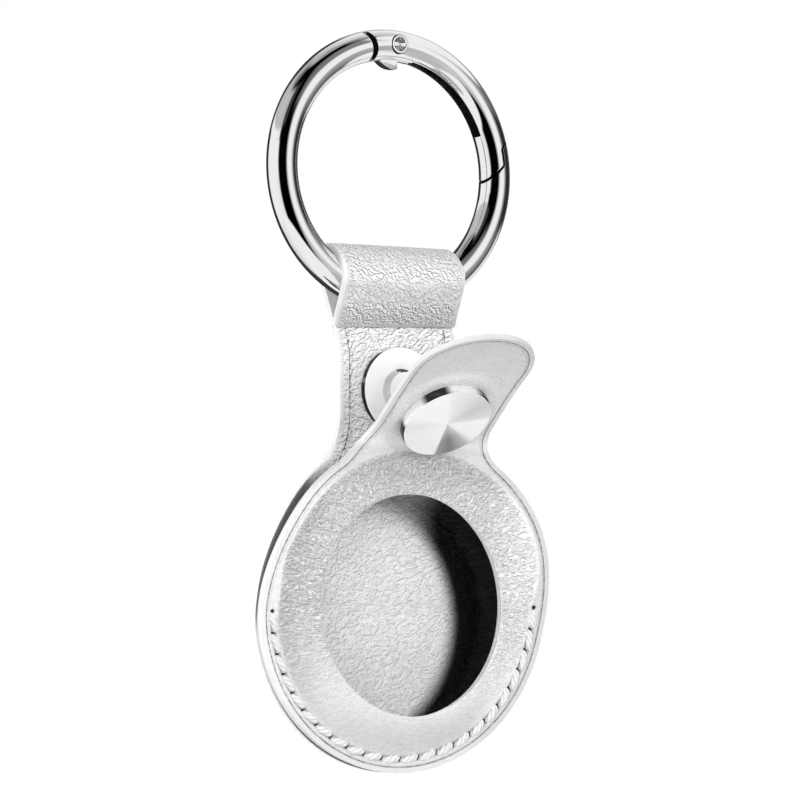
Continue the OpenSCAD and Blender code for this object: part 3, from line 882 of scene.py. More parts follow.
def path_table(lean_at, start_f, start_z, s0, s1, ds=0.05):
    """Steps along a sheet's section from s0 to s1, leaning by lean_at(s) degrees from upright."""
    table = [(s0, start_f, start_z)]
    s, f, z = s0, start_f, start_z
    while s < s1:
        lean = radians(lean_at(s + ds / 2))
        s += ds
        f += sin(lean) * ds
        z += cos(lean) * ds
        table.append((s, f, z))
    return table


def along(table, s):
    """Forward distance and height at s, straight on past the table's ends."""
    s0, ds = table[0][0], table[1][0] - table[0][0]
    i = min(len(table) - 2, max(0, int((s - s0) / ds)))
    t = (s - table[i][0]) / ds
    return mix(table[i][1], table[i + 1][1], t), mix(table[i][2], table[i + 1][2], t)


# How far the pouch's upper half bows forward, as the tag's pocket holds it open
bow_most = 2.1


def bow(s):
    return bow_most * step((s + 4) / 15)


# The front: one piece of leather from the bottom of the pouch to the tip of the tab
fold_spread = 2.6
# Where the bowed leather meets the tab's line, and where the tab's own length counts from
bend_s = 19.05
tab_s = 15.94
curl_from = 11.5
curl_rate = 1.28
# Length of the tab's leather along its curl
curled_len = 24.9


def front_lean(s):
    bend = step((s - bend_s + fold_spread) / (2 * fold_spread))
    curl = max(0.0, s - tab_s - curl_from) * curl_rate
    return mix(panel_lean, tab_lean, bend) + curl


front_start = -pouch_r - 1
FRONT_PATH = path_table(
    front_lean,
    panel_f + front_start * sin(radians(panel_lean)),
    pouch_z + front_start * cos(radians(panel_lean)),
    front_start, tab_s + curled_len + 1)


def thin(x, s):
    """Share of the full thickness: the tab's leather is skived, but for the seat of the snap."""
    seat_ = step((7.7 - hypot(x, s - tab_s - snap_up)) / 1.6)
    return mix(1.0, mix(0.62, 1.0, seat_), step((s - bend_s + 3) / 3))


def dome_height(x, s, f, z):
    """How far the pressed dome stands out of the front panel, to the plane of the window's rim."""
    far = hypot(x, s)
    rim = rim_f + (z - pouch_z) * tan(radians(rim_lean)) - x * rim_yaw
    rise = rim - f - panel_t / 2
    foot_r = front_foot_r + 0.85 * step(s / 6)
    climb = (foot_r - far) / (foot_r - window_r)
    climb = min(1.0, max(0.0, climb))
    height = rise * (0.3 * step(climb) + 0.7 * sin(pi / 2 * climb))
    # The lip of the window rolls back a little
    return height - 0.08 * step((window_r + 0.3 - far) / 0.3) ** 2


def front_detail(x, s):
    """Small shapes pressed into the leather: the row of stitches, and the snap's seat."""
    down = 0.0
    far = hypot(x, s)
    turn = degrees(atan2(s, x)) % 360
    # The pressed row runs a few degrees past the first and the last stitch
    past = 4
    if (turn > stitch_from - past or turn < stitch_to - 360 + past) and 16 < far < pouch_r:
        down += 0.16 * step(1 - abs(far - stitch_r) / 0.95)
    near = hypot(x, s - tab_s - snap_up)
    down += 0.1 * step(1 - abs(near - 5.9) / 1.0)
    return down


HOLES = stitch_holes()


def hole_dip(x, s):
    if hypot(x, s) < 17.5 or hypot(x, s) > 20.2:
        return 0.0
    nearest = min(hypot(x - hx, s - hy) for hx, hy in HOLES)
    return 0.42 * step(1 - nearest / 0.5)


def front_surface(depth):
    """The leather's surface, depth millimetres behind its face."""
    def surface(x, s):
        f, z = along(FRONT_PATH, s)
        f += bow(s)
        lean = radians(front_lean(s))
        share = thin(x, s)
        out = panel_t * (share - 0.5) - depth * share
        if s < bend_s:
            out += dome_height(x, s, f, z)
        if depth == 0:
            out -= front_detail(x, s) + hole_dip(x, s)
        return place(x, f + cos(lean) * out, z - sin(lean) * out)
    return surface


def ring_of(r, gap):
    return arc(0, 0, r, 0, 360, gap)[:-1]


def front_outlines(inset, loops):
    top = tab_s + curled_len
    return [strap_outline(tab_half_w, tab_fillet_r, top, inset + d, 0.3, True) for d in loops]


def make_front():
    face = cut_sheet(
        "front_leather", front_outlines(0, (0, 0.12, 0.45, 0.74, 0.85, 0.96, 1.2)),
        [ring_of(window_r + d, 0.3) for d in (0, 0.12, 0.3, 0.55, 0.9)], 0.55, front_surface(0), HOLES)
    thicken(face, front_leather_t, shares=thin)
    lining = cut_sheet(
        "front_lining", front_outlines(0.06, (0, 0.15, 0.6)),
        [ring_of(window_r + 0.06 + d, 0.4) for d in (0, 0.3, 0.8)], 0.8,
        front_surface(front_leather_t + 0.01))
    thicken(lining, front_lining_t, 0.06, shares=thin)
    dress(face, "front_leather", None, [FRONT_LEATHER, FRONT_EDGE], ["front_panel", "tab_leather"])
    dress(lining, "front_lining_sheet", None, [LINING_LEATHER, LINING_EDGE],
          ["front_lining", "tab_lining"])
    for piece in (face, lining):
        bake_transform(piece)


# The back: pouch, neck and loop in one strap, with a facing inside
# Forward distances and heights of the loop's outer face, at the strap's sides and in its middle
LOOP_END = ((-0.2, -19.2), (-1.2, -17.2), (-2.45, -14.7), (-3.1, -12.5), (-2.45, -10.4), (-0.6, -9.3),
            (1.4, -9.95), (2.9, -11.2), (3.95, -12.9), (3.75, -14.5), (2.8, -16.7), (2.1, -18.2),
            (1.6, -19.5))
LOOP_MIDDLE = ((-0.4, -19.3), (-2.0, -18.0), (-3.1, -15.75), (-3.25, -12.8), (-2.55, -10.6), (-0.6, -9.3),
               (1.5, -9.9), (3.0, -11.1), (3.95, -12.9), (3.95, -15.0), (3.3, -17.0), (2.5, -18.4),
               (1.65, -19.5))
loop_from_z = -21.0


def back_lean(s):
    """The lean of the back's section: tilted in the lower half, upright above, and back at the neck."""
    low = mix(panel_lean, 0, step((s + 1.5) / 3))
    lean = degrees(atan2(neck_joint_f - back_front_f, joint_z - neck_lean_z))
    return low + lean * step((s - (neck_lean_z - pouch_z) + 0.6) / 1.2)


back_start = -pouch_r - 1
BACK_PATH = path_table(
    back_lean,
    back_front_f + back_start * sin(radians(panel_lean)),
    pouch_z + back_start * cos(radians(panel_lean)),
    back_start, 36)
loop_from_s = next(s for s, f, z in BACK_PATH if z >= loop_from_z)


def back_outer(s, out):
    """Forward distance and height of a face of the back sheet, out millimetres behind the facing's face."""
    f, z = along(BACK_PATH, s)
    f += bow(s) * (1 - step((s - 11) / 15))
    lean = radians(back_lean(s))
    return f - cos(lean) * out, z + sin(lean) * out


LOOP_END = (back_outer(loop_from_s, cover_t + facing_t),) + LOOP_END
LOOP_MIDDLE = (LOOP_END[0],) + LOOP_MIDDLE
loop_cut = sum(hypot(b[0] - a[0], b[1] - a[1]) for a, b in zip(LOOP_END, LOOP_END[1:]))


def spline(points, t):
    """A smooth curve through the points, t from 0 to 1."""
    spans = len(points) - 1
    i = min(spans - 1, max(0, int(t * spans)))
    u = t * spans - i
    p1, p2 = points[i], points[i + 1]
    p0 = points[i - 1] if i else (2 * p1[0] - p2[0], 2 * p1[1] - p2[1])
    p3 = points[i + 2] if i + 2 <= spans else (2 * p2[0] - p1[0], 2 * p2[1] - p1[1])
    return tuple(
        0.5 * (2 * b + (c - a) * u + (2 * a - 5 * b + 4 * c - d) * u * u + (3 * b - a - 3 * c + d) * u ** 3)
        for a, b, c, d in zip(p0, p1, p2, p3))


def loop_section(x, t):
    """The loop's outer face across the strap: fuller in the middle, where the ring's wire hangs lower."""
    swell = 1 - min(1.0, abs(x) / strap_half) ** 2
    (side_f, side_z), (middle_f, middle_z) = spline(LOOP_END, t), spline(LOOP_MIDDLE, t)
    # Over the wire and down its front, the strap slants: its right side lies higher
    slant = 0.05 * step((t - 0.3) / 0.7)
    return mix(side_f, middle_f, swell), mix(side_z, middle_z, swell) + x * slant


def back_bulge(x, s):
    far = hypot(x, s)
    sheet_f = back_front_f - cover_t - facing_t + min(0.0, s) * tan(radians(panel_lean))
    rise = back_flat_y + sheet_f + bow(s) * (1 - step((s - 11) / 15))
    return rise * step((dome_foot_r - far) / (dome_foot_r - back_flat_r))


def back_share(x, s):
    """Share of the thickness across a sheet that leaves it the same measured straight forward."""
    if s > loop_from_s - 1 or hypot(x, s) > dome_foot_r + 0.5:
        return 1.0
    across = (back_bulge(x + 0.05, s) - back_bulge(x - 0.05, s)) / 0.1
    up = (back_bulge(x, s + 0.05) - back_bulge(x, s - 0.05)) / 0.1
    return 1 / sqrt(1 + across * across + up * up)


def loop_place(x, t, depth):
    """A point of the loop, depth millimetres inside its outer face."""
    f, z = loop_section(x, t)
    f2, z2 = loop_section(x, min(1.0, t + 0.01))
    f1, z1 = loop_section(x, max(0.0, t - 0.01))
    df, dz = f2 - f1, z2 - z1
    size = hypot(df, dz)
    # Inwards is to the right of the way up the back and over
    return f + dz / size * depth, z - df / size * depth


def back_surface(depth):
    """The back cover, depth millimetres in front of its outer face."""
    def surface(x, s):
        if s <= loop_from_s:
            return place(x, *back_outer(s, facing_t + cover_t - depth + back_bulge(x, s)))
        f, z = loop_place(x, (s - loop_from_s) / loop_cut, depth)
        return place(x, f, z)
    return surface


def facing_surface(x, s):
    return place(x, *back_outer(s, back_bulge(x, s)))


def flip(piece):
    in_edit(piece, lambda: bpy.ops.mesh.flip_normals())


def make_back():
    top = loop_from_s + loop_cut
    outlines = [strap_outline(strap_half, neck_fillet_r, top, d, 0.4, False) for d in (0, 0.12, 0.5, 1.0)]
    cover = cut_sheet("back_leather", outlines, [], 0.6, back_surface(0))
    flip(cover)
    thicken(cover, cover_t, shares=back_share)
    dress(cover, "back_leather", "holder", [BACK_LEATHER, EDGE], ["back_cover"])
    facing_top = loop_from_s + 1.9
    outlines = [strap_outline(strap_half, neck_fillet_r, facing_top, 0.05 + d, 0.35, False)
                for d in (0, 0.12, 0.5, 1.33, 1.45, 1.57, 2.0)]
    facing = cut_sheet("facing", outlines, [], 0.6, facing_surface, free_top=facing_top - 0.1)
    thicken(facing, facing_t - 0.01, shares=back_share)
    dress(facing, "facing_leather", "holder", [FACING_LEATHER, EDGE], ["back_facing"])
    lining = make_loop_lining()
    # The wire keeps the studio's bright reflection where it enters the loop
    cover.visible_glossy = False
    lining.visible_glossy = False


def make_loop_lining():
    """The lining inside the loop, from the neck up the back, over the wire and down the front leaf."""
    columns, rows = 24, 150
    points, flat = [], []
    for j in range(rows + 1):
        t = mix(0.05, 0.985, j / rows)
        for i in range(columns + 1):
            x = mix(-strap_half + 0.03, strap_half - 0.03, i / columns)
            f, z = loop_place(x, t, cover_t + 0.01)
            points.append(place(x, f, z))
            flat.append((x, t * loop_cut, 0.0))
    across = columns + 1
    corners = [j * across + i for j in range(rows) for i in range(columns)]
    mesh = bpy.data.meshes.new("loop_lining")
    mesh.from_pydata(points, [], [(c, c + 1, c + across + 1, c + across) for c in corners])
    piece = linked("loop_lining", mesh)
    places = [v for p in flat for v in p]
    mesh.attributes.new("cut_mm", "FLOAT_VECTOR", "POINT").data.foreach_set("vector", places)
    flip(piece)
    thicken(piece, loop_lining_t, 0.05)
    return dress(piece, "loop_lining_sheet", "holder", [LINING_LEATHER, EDGE],
                 ["loop_lining"])


# Stitching: three strands laid together, fuller in the middle of each stitch
strand_r = 0.44
strand_share = 0.74
lobe_share = 0.3
strand_turn = 5.2
# How high a stitch's middle stands, how far its ends go down, and how flat it is pressed
stitch_rise = 0.34
stitch_sink = 0.16
stitch_flat_share = 0.85
stitch_slant = -13


def stitch_mesh(side):
    """One stitch along X, in millimetres, its strands twisted to one side."""
    sides, rings = 27, 22
    length = 2 * stitch_r * sin(radians(stitch_to - stitch_from) / stitch_count / 2) - 0.04
    vertices, ply, faces = [], [], []
    for j in range(rings + 1):
        u = j / rings
        swell = sqrt(max(0.0, 1 - (2 * u - 1) ** 4)) * 0.9 + 0.1 * (0 < j < rings)
        lift = stitch_rise * (1 - (2 * u - 1) ** 2) - stitch_sink
        for k in range(sides):
            a = 2 * pi * k / sides
            lobe = abs(cos(1.5 * (a + side * strand_turn * u)))
            wide = strand_r * swell * (strand_share + lobe_share * lobe)
            vertices.append(((u - 0.5) * length, wide * cos(a), lift + wide * sin(a) * stitch_flat_share))
            ply.append(lobe)
    for j in range(rings):
        for k in range(sides):
            k2 = (k + 1) % sides
            faces.append((j * sides + k, j * sides + k2, (j + 1) * sides + k2, (j + 1) * sides + k))
    faces.append(tuple(range(sides)))
    faces.append(tuple(rings * sides + k for k in reversed(range(sides))))
    mesh = bpy.data.meshes.new("stitch")
    mesh.from_pydata(vertices, [], faces)
    mesh.attributes.new("ply", "FLOAT", "POINT").data.foreach_set("value", ply)
    return mesh


def stitch_matrix(turn, side):
    """From one stitch to its place in the row, slanted as a pulled stitch lies."""
    lean = radians(panel_lean)
    slant = radians(stitch_slant) * side
    along_row = Vector((-sin(turn), 0, cos(turn)))
    front = Vector((0, -side, 0))
    across_row = front.cross(along_row)
    across_row = (across_row * cos(slant) + along_row * sin(slant)).normalized()
    along_row = across_row.cross(front).normalized()
    level = panel_t / 2 - 0.1 if side > 0 else panel_t / 2 + (cover_t + facing_t) * cos(lean) + 0.02
    centre = Vector((stitch_r * cos(turn), -side * level, stitch_r * sin(turn)))
    turned_in = Matrix((along_row, across_row, front)).transposed().to_4x4()
    panel = Matrix.Translation(Vector((0, -panel_f, pouch_z))) @ Matrix.Rotation(lean, 4, "X")
    return Matrix.Scale(MM, 4) @ panel @ Matrix.Translation(centre) @ turned_in


def make_stitches():
    """A row in front and one behind, each with one stitch that is modelled once and copied."""
    pieces = []
    for side in (1, -1):
        first = stitch_mesh(side)
        for i in range(stitch_count):
            stitch = first.copy()
            turn = radians(mix(stitch_from, stitch_to, (i + 0.5) / stitch_count))
            stitch.transform(stitch_matrix(turn, side))
            pieces.append(linked("stitch", stitch))
        bpy.data.meshes.remove(first)
    thread = joined(pieces)
    in_edit(thread, lambda: bpy.ops.mesh.normals_make_consistent(inside=False))
    smooth(thread, 60)
    dress(thread, "stitching", "holder", [THREAD], ["stitch_thread"])


# Turned metal pieces

def spun(piece, steps, angle, axis, *after):
    """Spins all of a piece about the origin and turns its faces outwards."""
    in_edit(
        piece,
        lambda: bpy.ops.mesh.spin(steps=steps, angle=angle, center=(0, 0, 0), axis=axis),
        lambda: bpy.ops.mesh.select_all(action="SELECT"),
        *after,
        lambda: bpy.ops.mesh.normals_make_consistent(inside=False))


def extruded_line(points):
    """A chain of edges, drawn from one corner by extruding it from point to point."""
    deselect()
    bpy.ops.mesh.primitive_plane_add(size=MM)
    piece = bpy.context.active_object
    in_edit(
        piece,
        lambda: bpy.ops.mesh.merge(type="CENTER"),
        lambda: bpy.ops.transform.translate(value=points[0]))
    active(piece)
    bpy.ops.object.mode_set(mode="EDIT")
    for a, b in zip(points, points[1:]):
        move = tuple(end - start for start, end in zip(a, b))
        bpy.ops.mesh.extrude_region_move(TRANSFORM_OT_translate={"value": move})
    bpy.ops.object.mode_set(mode="OBJECT")
    return piece


def turned(name, profile, steps=96):
    """A solid turned from a half section of (radius, height) points about +Z."""
    piece = extruded_line([(r * MM, 0, h * MM) for r, h in profile])
    spun(piece, steps, 2 * pi, (0, 0, 1), lambda: bpy.ops.mesh.remove_doubles(threshold=1e-7))
    piece.name = name
    return piece


def mark_turn(piece):
    """Keeps each face corner's turn round the axis, from 0 to 1, and each point's distance from it."""
    mesh = piece.data
    far = [hypot(v.co.x, v.co.y) / MM for v in mesh.vertices]
    mesh.attributes.new("from_axis_mm", "FLOAT", "POINT").data.foreach_set("value", far)
    shares = []
    for face in mesh.polygons:
        middle = degrees(atan2(face.center.y, face.center.x)) / 360 % 1
        for i in face.vertices:
            co = mesh.vertices[i].co
            here = degrees(atan2(co.y, co.x)) / 360 % 1
            if hypot(co.x, co.y) < 1e-6:
                here = middle
            if here - middle > 0.5:
                here -= 1
            if middle - here > 0.5:
                here += 1
            shares.append(here)
    mesh.attributes.new("turn", "FLOAT", "CORNER").data.foreach_set("value", shares)


def stand(piece, x, f, z, lean=0.0, back=False):
    """Turns a piece made about +Z so that it faces forward, leans it about X, and moves it."""
    turn = Matrix.Rotation(radians(90 if not back else -90), 4, "X")
    lean_by = Matrix.Rotation(radians(lean), 4, "X")
    piece.data.transform(Matrix.Translation(place(x, f, z)) @ lean_by @ turn)


# Snap fastener: cap and socket on the tab, stud and rivet plate on the neck
cap_r = 5.75
cap_h = 1.1
cap_face_r = 5.6
cap_crown = 0.1
cap_post_r = 1.5
socket_r = 5.2
socket_t = 1.2
socket_bore = 2.9
socket_base = 0.25
socket_spring_r = 0.14
socket_spring_gap = 0.9
plate_r = 4.5
plate_t = 0.5


def on_tab(piece, outer):
    """Seats a piece made about +Z on the tab's outer or inner face, at the snap."""
    lean = radians(tab_lean)
    out = panel_t / 2 if outer else -panel_t / 2
    f = fold_f + snap_up * sin(lean) + cos(lean) * out
    z = fold_z + snap_up * cos(lean) - sin(lean) * out
    stand(piece, 0, f, z, tab_lean, back=not outer)


def make_cap():
    """A slightly crowned spun face, with an upright polished wall and a post through the tab."""
    radii = (0.25, 0.6, 1.2, 2.0, 2.8, 3.6, 4.4, 5.0, 5.45, cap_face_r)
    face = [(0.0, cap_h)] + [(r, cap_h - cap_crown * (r / cap_r) ** 2) for r in radii]
    wall = [(cap_face_r, cap_h - 0.095), (5.68, cap_h - 0.12), (5.73, cap_h - 0.17), (cap_r, cap_h - 0.24),
            (cap_r, 0.1), (cap_face_r, -0.2), (cap_post_r, -0.2), (cap_post_r, -panel_t + 0.02),
            (0.0, -panel_t + 0.02)]
    for name, section, steps, finish in (("snap_cap_face", face, 192, SPUN),
                                         ("snap_cap_wall", wall, 144, CAP_WALL)):
        cap = turned(name, section, steps)
        mark_turn(cap)
        smooth(cap, 40)
        on_tab(cap, True)
        dress(cap, name, "tab", [finish], ["snap_cap"])


def make_socket():
    """The socket inside the tab, and the open ring spring in it."""
    bore, top, base = socket_bore, socket_t, socket_base
    section = [(0.0, base), (bore + 0.36, base), (bore + 0.36, base + 0.4), (bore, base + 0.45),
               (bore, top - 0.12), (bore + 0.12, top), (3.7, top), (4.1, top - 0.1), (4.5, top - 0.35),
               (4.95, top - 0.45), (socket_r, top - 0.62), (socket_r, 0.1), (5.1, 0.0), (0.0, 0.0)]
    socket = turned("socket", section, 96)
    smooth(socket, 30)
    on_tab(socket, False)
    dress(socket, "snap_socket_ring", "tab", [SNAP_METAL], ["snap_socket"])
    deselect()
    bpy.ops.mesh.primitive_torus_add(major_radius=(bore + 0.1) * MM, minor_radius=socket_spring_r * MM,
                                     major_segments=72, minor_segments=12)
    spring = bpy.context.active_object
    in_edit(spring, lambda: bpy.ops.mesh.select_all(action="DESELECT"))
    for vertex in spring.data.vertices:
        vertex.select = vertex.co.y > 0 and abs(vertex.co.x) < socket_spring_gap * MM
    bpy.ops.object.mode_set(mode="EDIT")
    bpy.ops.mesh.delete(type="VERT")
    bpy.ops.object.mode_set(mode="OBJECT")
    in_edit(spring, lambda: bpy.ops.mesh.fill_holes(sides=0))
    smooth(spring, 40)
    spring.data.transform(Matrix.Translation((0, 0, (base + 0.2) * MM)))
    on_tab(spring, False)
    dress(spring, "socket_ring_spring", "tab", [SPRING], ["socket_spring"])


def make_stud():
    """A flat flange round a raised boss, on the neck."""
    flange = [(2.75, 0.62), (3.0, 0.68), (5.3, 0.7), (5.4, 0.66)]
    wall = [(5.4, 0.66), (5.47, 0.58), (5.5, 0.5), (5.5, 0.06), (5.4, 0.0), (0.0, 0.0)]
    boss = [(2.75, 0.62), (2.6, 0.68), (2.5, 0.8), (2.42, 1.1), (2.5, 1.34), (2.46, 1.5), (2.3, 1.58)]
    top = [(2.3, 1.58), (2.1, 1.6), (1.5, 1.58), (0.8, 1.55), (0.0, 1.54)]
    for name, section, finish in (("stud_flange", flange, SNAP_FACE), ("stud_wall", wall, STUD_WALL),
                                  ("stud_boss", boss, BOSS_WALL), ("stud_top", top, SNAP_FACE)):
        stud = turned(name, section, 144)
        mark_turn(stud)
        smooth(stud, 32)
        stand(stud, 0, back_front_f, snap_z)
        dress(stud, name, "holder", [finish], ["snap_stud"])


def make_plate():
    """The rivet plate behind the neck, with its post through the leather."""
    sheets_t = cover_t + facing_t
    plate = [(0.0, plate_t + 0.08), (1.5, plate_t + 0.06), (3.0, plate_t), (3.9, plate_t - 0.12),
             (4.3, plate_t - 0.25), (plate_r, 0.18), (4.45, 0.02), (1.5, 0.02), (1.5, -sheets_t),
             (0.0, -sheets_t)]
    rivet = turned("plate", plate, 96)
    smooth(rivet, 35)
    stand(rivet, 0, back_front_f - sheets_t, snap_z, back=True)
    dress(rivet, "snap_rivet_plate", "holder", [SNAP_METAL], ["snap_post"])


# The ring

# The frame's rounded end beside the hinge, and half the gap between it and the gate's hollow nose
end_x = rivet_x - 8.09
end_z = rivet_z - 1.53
end_r = 4.7
end_gap = 0.38
# Half lengths across the wire of a cutter, and of a tool that trims a cutter
cut_half = 3
trim_half = 4
# Boxes, as ranges of x, y and z, round the latch's step and round the tip of its tongue
latch_box = (10, 18, -5, 5, -4.5, 8)
tip_box = (14, 20, -5, 5, 0, 9)
# The channel in the gate for its coil, in degrees round the ring, and its deeper part
channel_from = 21
channel_to = 78
channel_half = 0.95
channel_depth = 2.35
coil_from = 54
coil_depth = 3.35


def wire(name, a0, a1, steps):
    """A length of the ring's wire, spun from a circle, angles from +X towards +Z."""
    deselect()
    bpy.ops.mesh.primitive_circle_add(vertices=72, radius=wire_r * MM, fill_type="NGON")
    piece = bpy.context.active_object
    start = radians(a0)
    c, s = cos(start), sin(start)
    across = Matrix(((c, 0, s, 0), (0, 1, 0, 0), (s, 0, -c, 0), (0, 0, 0, 1)))
    piece.data.transform(Matrix.Translation(place(ring_r * cos(start), 0, ring_r * sin(start))) @ across)
    spun(piece, steps, radians(a1 - a0), (0, 1, 0))
    piece.name = name
    return piece


def round_cutter(x, z, r, half, vertices=256):
    """A cylinder across the wire, half millimetres long to each side."""
    deselect()
    bpy.ops.mesh.primitive_cylinder_add(vertices=vertices, radius=r * MM, depth=2 * half * MM,
                                        location=place(x, 0, z), rotation=(pi / 2, 0, 0))
    piece = bpy.context.active_object
    seat(piece)
    return piece


def box_cutter(x0, x1, y0, y1, z0, z1):
    deselect()
    bpy.ops.mesh.primitive_cube_add(
        size=1, location=((x0 + x1) / 2 * MM, (y0 + y1) / 2 * MM, (z0 + z1) / 2 * MM),
        scale=((x1 - x0) * MM, (y1 - y0) * MM, (z1 - z0) * MM))
    piece = bpy.context.active_object
    seat(piece)
    return piece


def band_cutter(a0, a1, r0, r1, half, steps=48):
    """A length of a flat ring, spun from a rectangle that is half millimetres wide to each side."""
    deselect()
    start = radians(a0)
    middle = (r0 + r1) / 2
    bpy.ops.mesh.primitive_plane_add(
        size=1, location=place(middle * cos(start), 0, middle * sin(start)), rotation=(0, -start, 0))
    piece = bpy.context.active_object
    piece.scale = ((r1 - r0) * MM, 2 * half * MM, 1)
    seat(piece)
    spun(piece, steps, radians(a1 - a0), (0, 1, 0))
    return piece


def combine(piece, tool, operation="DIFFERENCE"):
    cut = piece.modifiers.new("cut", "BOOLEAN")
    cut.operation = operation
    cut.object = tool
    cut.solver = "EXACT"
    apply_modifiers(piece)
    bpy.data.objects.remove(tool)
    return piece


def ease_edges(piece, width, angle=38):
    in_edit(piece, lambda: bpy.ops.mesh.remove_doubles(threshold=2e-6))
    bevel = piece.modifiers.new("edges", "BEVEL")
    bevel.width = width * MM
    bevel.segments = 2
    bevel.limit_method = "ANGLE"
    bevel.angle_limit = radians(angle)
    bevel.use_clamp_overlap = True
    bevel.harden_normals = False
    apply_modifiers(piece)
    smooth(piece, 28)


def shade_cuts(piece):
    """Gives the sawn and milled faces inside the wire a dark plating: painted shade and dark reflection."""
    for face in piece.data.polygons:
        x, y, z = face.center / MM
        inside_wire = hypot(hypot(x, z) - ring_r, y) < wire_r - 0.16
        under_rivet = hypot(x - rivet_x, z - rivet_z) < lug_r + 0.1 and hypot(x, z) < ring_r - wire_r - 0.05
        if inside_wire and not under_rivet:
            face.material_index = 1


def make_frame():
    """The fixed wire: tongue at the hinge, stepped latch with its tongue, and lug under the rivet."""
    frame_wire = wire("ring_wire", rivet_angle - 9, 360 + latch_angle, 420)
    for low, high in ((-cut_half, -tongue_half), (tongue_half, cut_half)):
        cheek = box_cutter(rivet_x - 7, rivet_x + 5, low, high, rivet_z - 4.5, rivet_z + 4)
        combine(cheek, round_cutter(end_x, end_z, end_r - end_gap, trim_half, 128))
        combine(frame_wire, cheek)
    latch = round_cutter(rivet_x, rivet_z, gate_end_r + wire_gap - 0.1, cut_half, 360)
    combine(latch, round_cutter(0, 0, ring_r + wire_r - latch_t, trim_half, 360), "INTERSECT")
    combine(latch, box_cutter(*latch_box), "INTERSECT")
    combine(frame_wire, latch)
    tip = round_cutter(rivet_x, rivet_z, latch_end_r, cut_half, 360)
    combine(tip, box_cutter(*tip_box), "INTERSECT")
    combine(frame_wire, tip)
    lug = round_cutter(rivet_x, rivet_z, lug_r, tongue_half, 96)
    reach = band_cutter(rivet_angle - 2, rivet_angle + 11, ring_r - 4, ring_r - 0.6, cut_half, 12)
    combine(lug, reach, "INTERSECT")
    combine(frame_wire, lug, "UNION")
    ease_edges(frame_wire, 0.22)
    dress(frame_wire, "ring_wire", "ring", [CHROME, SHADED_CUT_METAL], ["ring_frame"])
    shade_cuts(frame_wire)


def make_gate():
    """The spring gate: hollow nose and fork at the hinge, relief at the latch, channel for the coil."""
    outer = ring_r + wire_r
    inner = ring_r - wire_r
    fork_half = tongue_half + 0.06
    gate = wire("gate_wire", -12, rivet_angle + 20, 160)
    combine(gate, round_cutter(rivet_x, rivet_z, gate_end_r - 0.28, cut_half, 360), "INTERSECT")
    combine(gate, round_cutter(end_x, end_z, end_r + end_gap, cut_half, 160))
    combine(gate, box_cutter(rivet_x - 6, rivet_x, -fork_half, fork_half, rivet_z - 4, rivet_z + 4))
    combine(gate, round_cutter(rivet_x, rivet_z, nose_r + wire_gap, fork_half, 96))
    relief = band_cutter(-24, 2 * latch_angle, outer - latch_t - wire_gap - 0.2, outer + 1, cut_half, 60)
    combine(relief, round_cutter(rivet_x, rivet_z, latch_end_r - wire_gap - 0.15, trim_half, 360))
    combine(gate, relief)
    combine(gate, band_cutter(channel_from, channel_to, ring_r - 4, inner + channel_depth, channel_half, 60))
    combine(gate, band_cutter(coil_from, channel_to, ring_r - 4, inner + coil_depth, channel_half, 30))
    ease_edges(gate, 0.16)
    dress(gate, "gate_wire", "gate", [CHROME, SHADED_CUT_METAL], ["ring_gate"])
    shade_cuts(gate)

def make_rivet():
    """Two like halves: a struck centre in a bright bezel, and a shank through the gate and the frame."""
    top = wire_r + 0.1
    section = [(0.0, top - 0.10), (0.4, top - 0.11), (0.82, top - 0.12), (0.88, top - 0.02), (0.96, top),
               (1.1, top - 0.02), (1.2, top - 0.12), (1.2, top - 0.62), (0.8, top - 0.62), (0.8, 0.0),
               (0.0, 0.0)]
    halves = []
    for back in (False, True):
        half = turned("rivet_half", section, 64)
        smooth(half, 35)
        stand(half, rivet_x, 0, rivet_z, back=back)
        halves.append(half)
    rivet = joined(halves)
    dress(rivet, "hinge_rivet", "ring", [CHROME, STRUCK, SPRING], ["gate_rivet"])
    for face in rivet.data.polygons:
        middle = face.center
        far = hypot(middle.x / MM - rivet_x, middle.z / MM - rivet_z)
        if far < 0.85 and abs(middle.y) > (top - 0.2) * MM:
            face.material_index = 1
        elif far > 1.11:
            face.material_index = 2


def make_gate_spring():
    """The coil in the gate's channel, on a straight line between two angles of the ring."""
    coils, coil_r, spring_wire_r = 7, 0.58, 0.14
    p, q = (Vector((cos(radians(a)), 0, sin(radians(a)))) * (ring_r - 0.12 * wire_r) for a in (76.1, 54.6))
    way = (q - p).normalized()
    side = Vector((0, 1, 0))
    out = way.cross(side)
    curve = bpy.data.curves.new("coil", "CURVE")
    curve.dimensions = "3D"
    curve.bevel_depth = spring_wire_r * MM
    curve.bevel_resolution = 3
    curve.use_fill_caps = True
    line = curve.splines.new("POLY")
    count = coils * 24
    line.points.add(count)
    room = spring_wire_r / (q - p).length
    for i in range(count + 1):
        u = i / count
        turn = 2 * pi * coils * u
        here = p + (q - p) * (room + u * (1 - 2 * room)) + coil_r * (cos(turn) * side + sin(turn) * out)
        line.points[i].co = (*(here * MM), 1)
    active(linked("gate_coil", curve))
    bpy.ops.object.convert(target="MESH")
    piece = bpy.context.active_object
    smooth(piece, 60)
    dress(piece, "gate_coil", "gate", [SPRING], ["gate_spring"])


# Studio

def card(name, size, place_, look, strength):
    light = bpy.data.lights.new(name, "AREA")
    light.shape = "RECTANGLE"
    light.size, light.size_y = size
    light.energy = strength
    lamp = linked(name, light)
    lamp.visible_glossy = False
    lamp.location = place_
    lamp.rotation_euler = (Vector(look) - Vector(place_)).to_track_quat("-Z", "Y").to_euler()


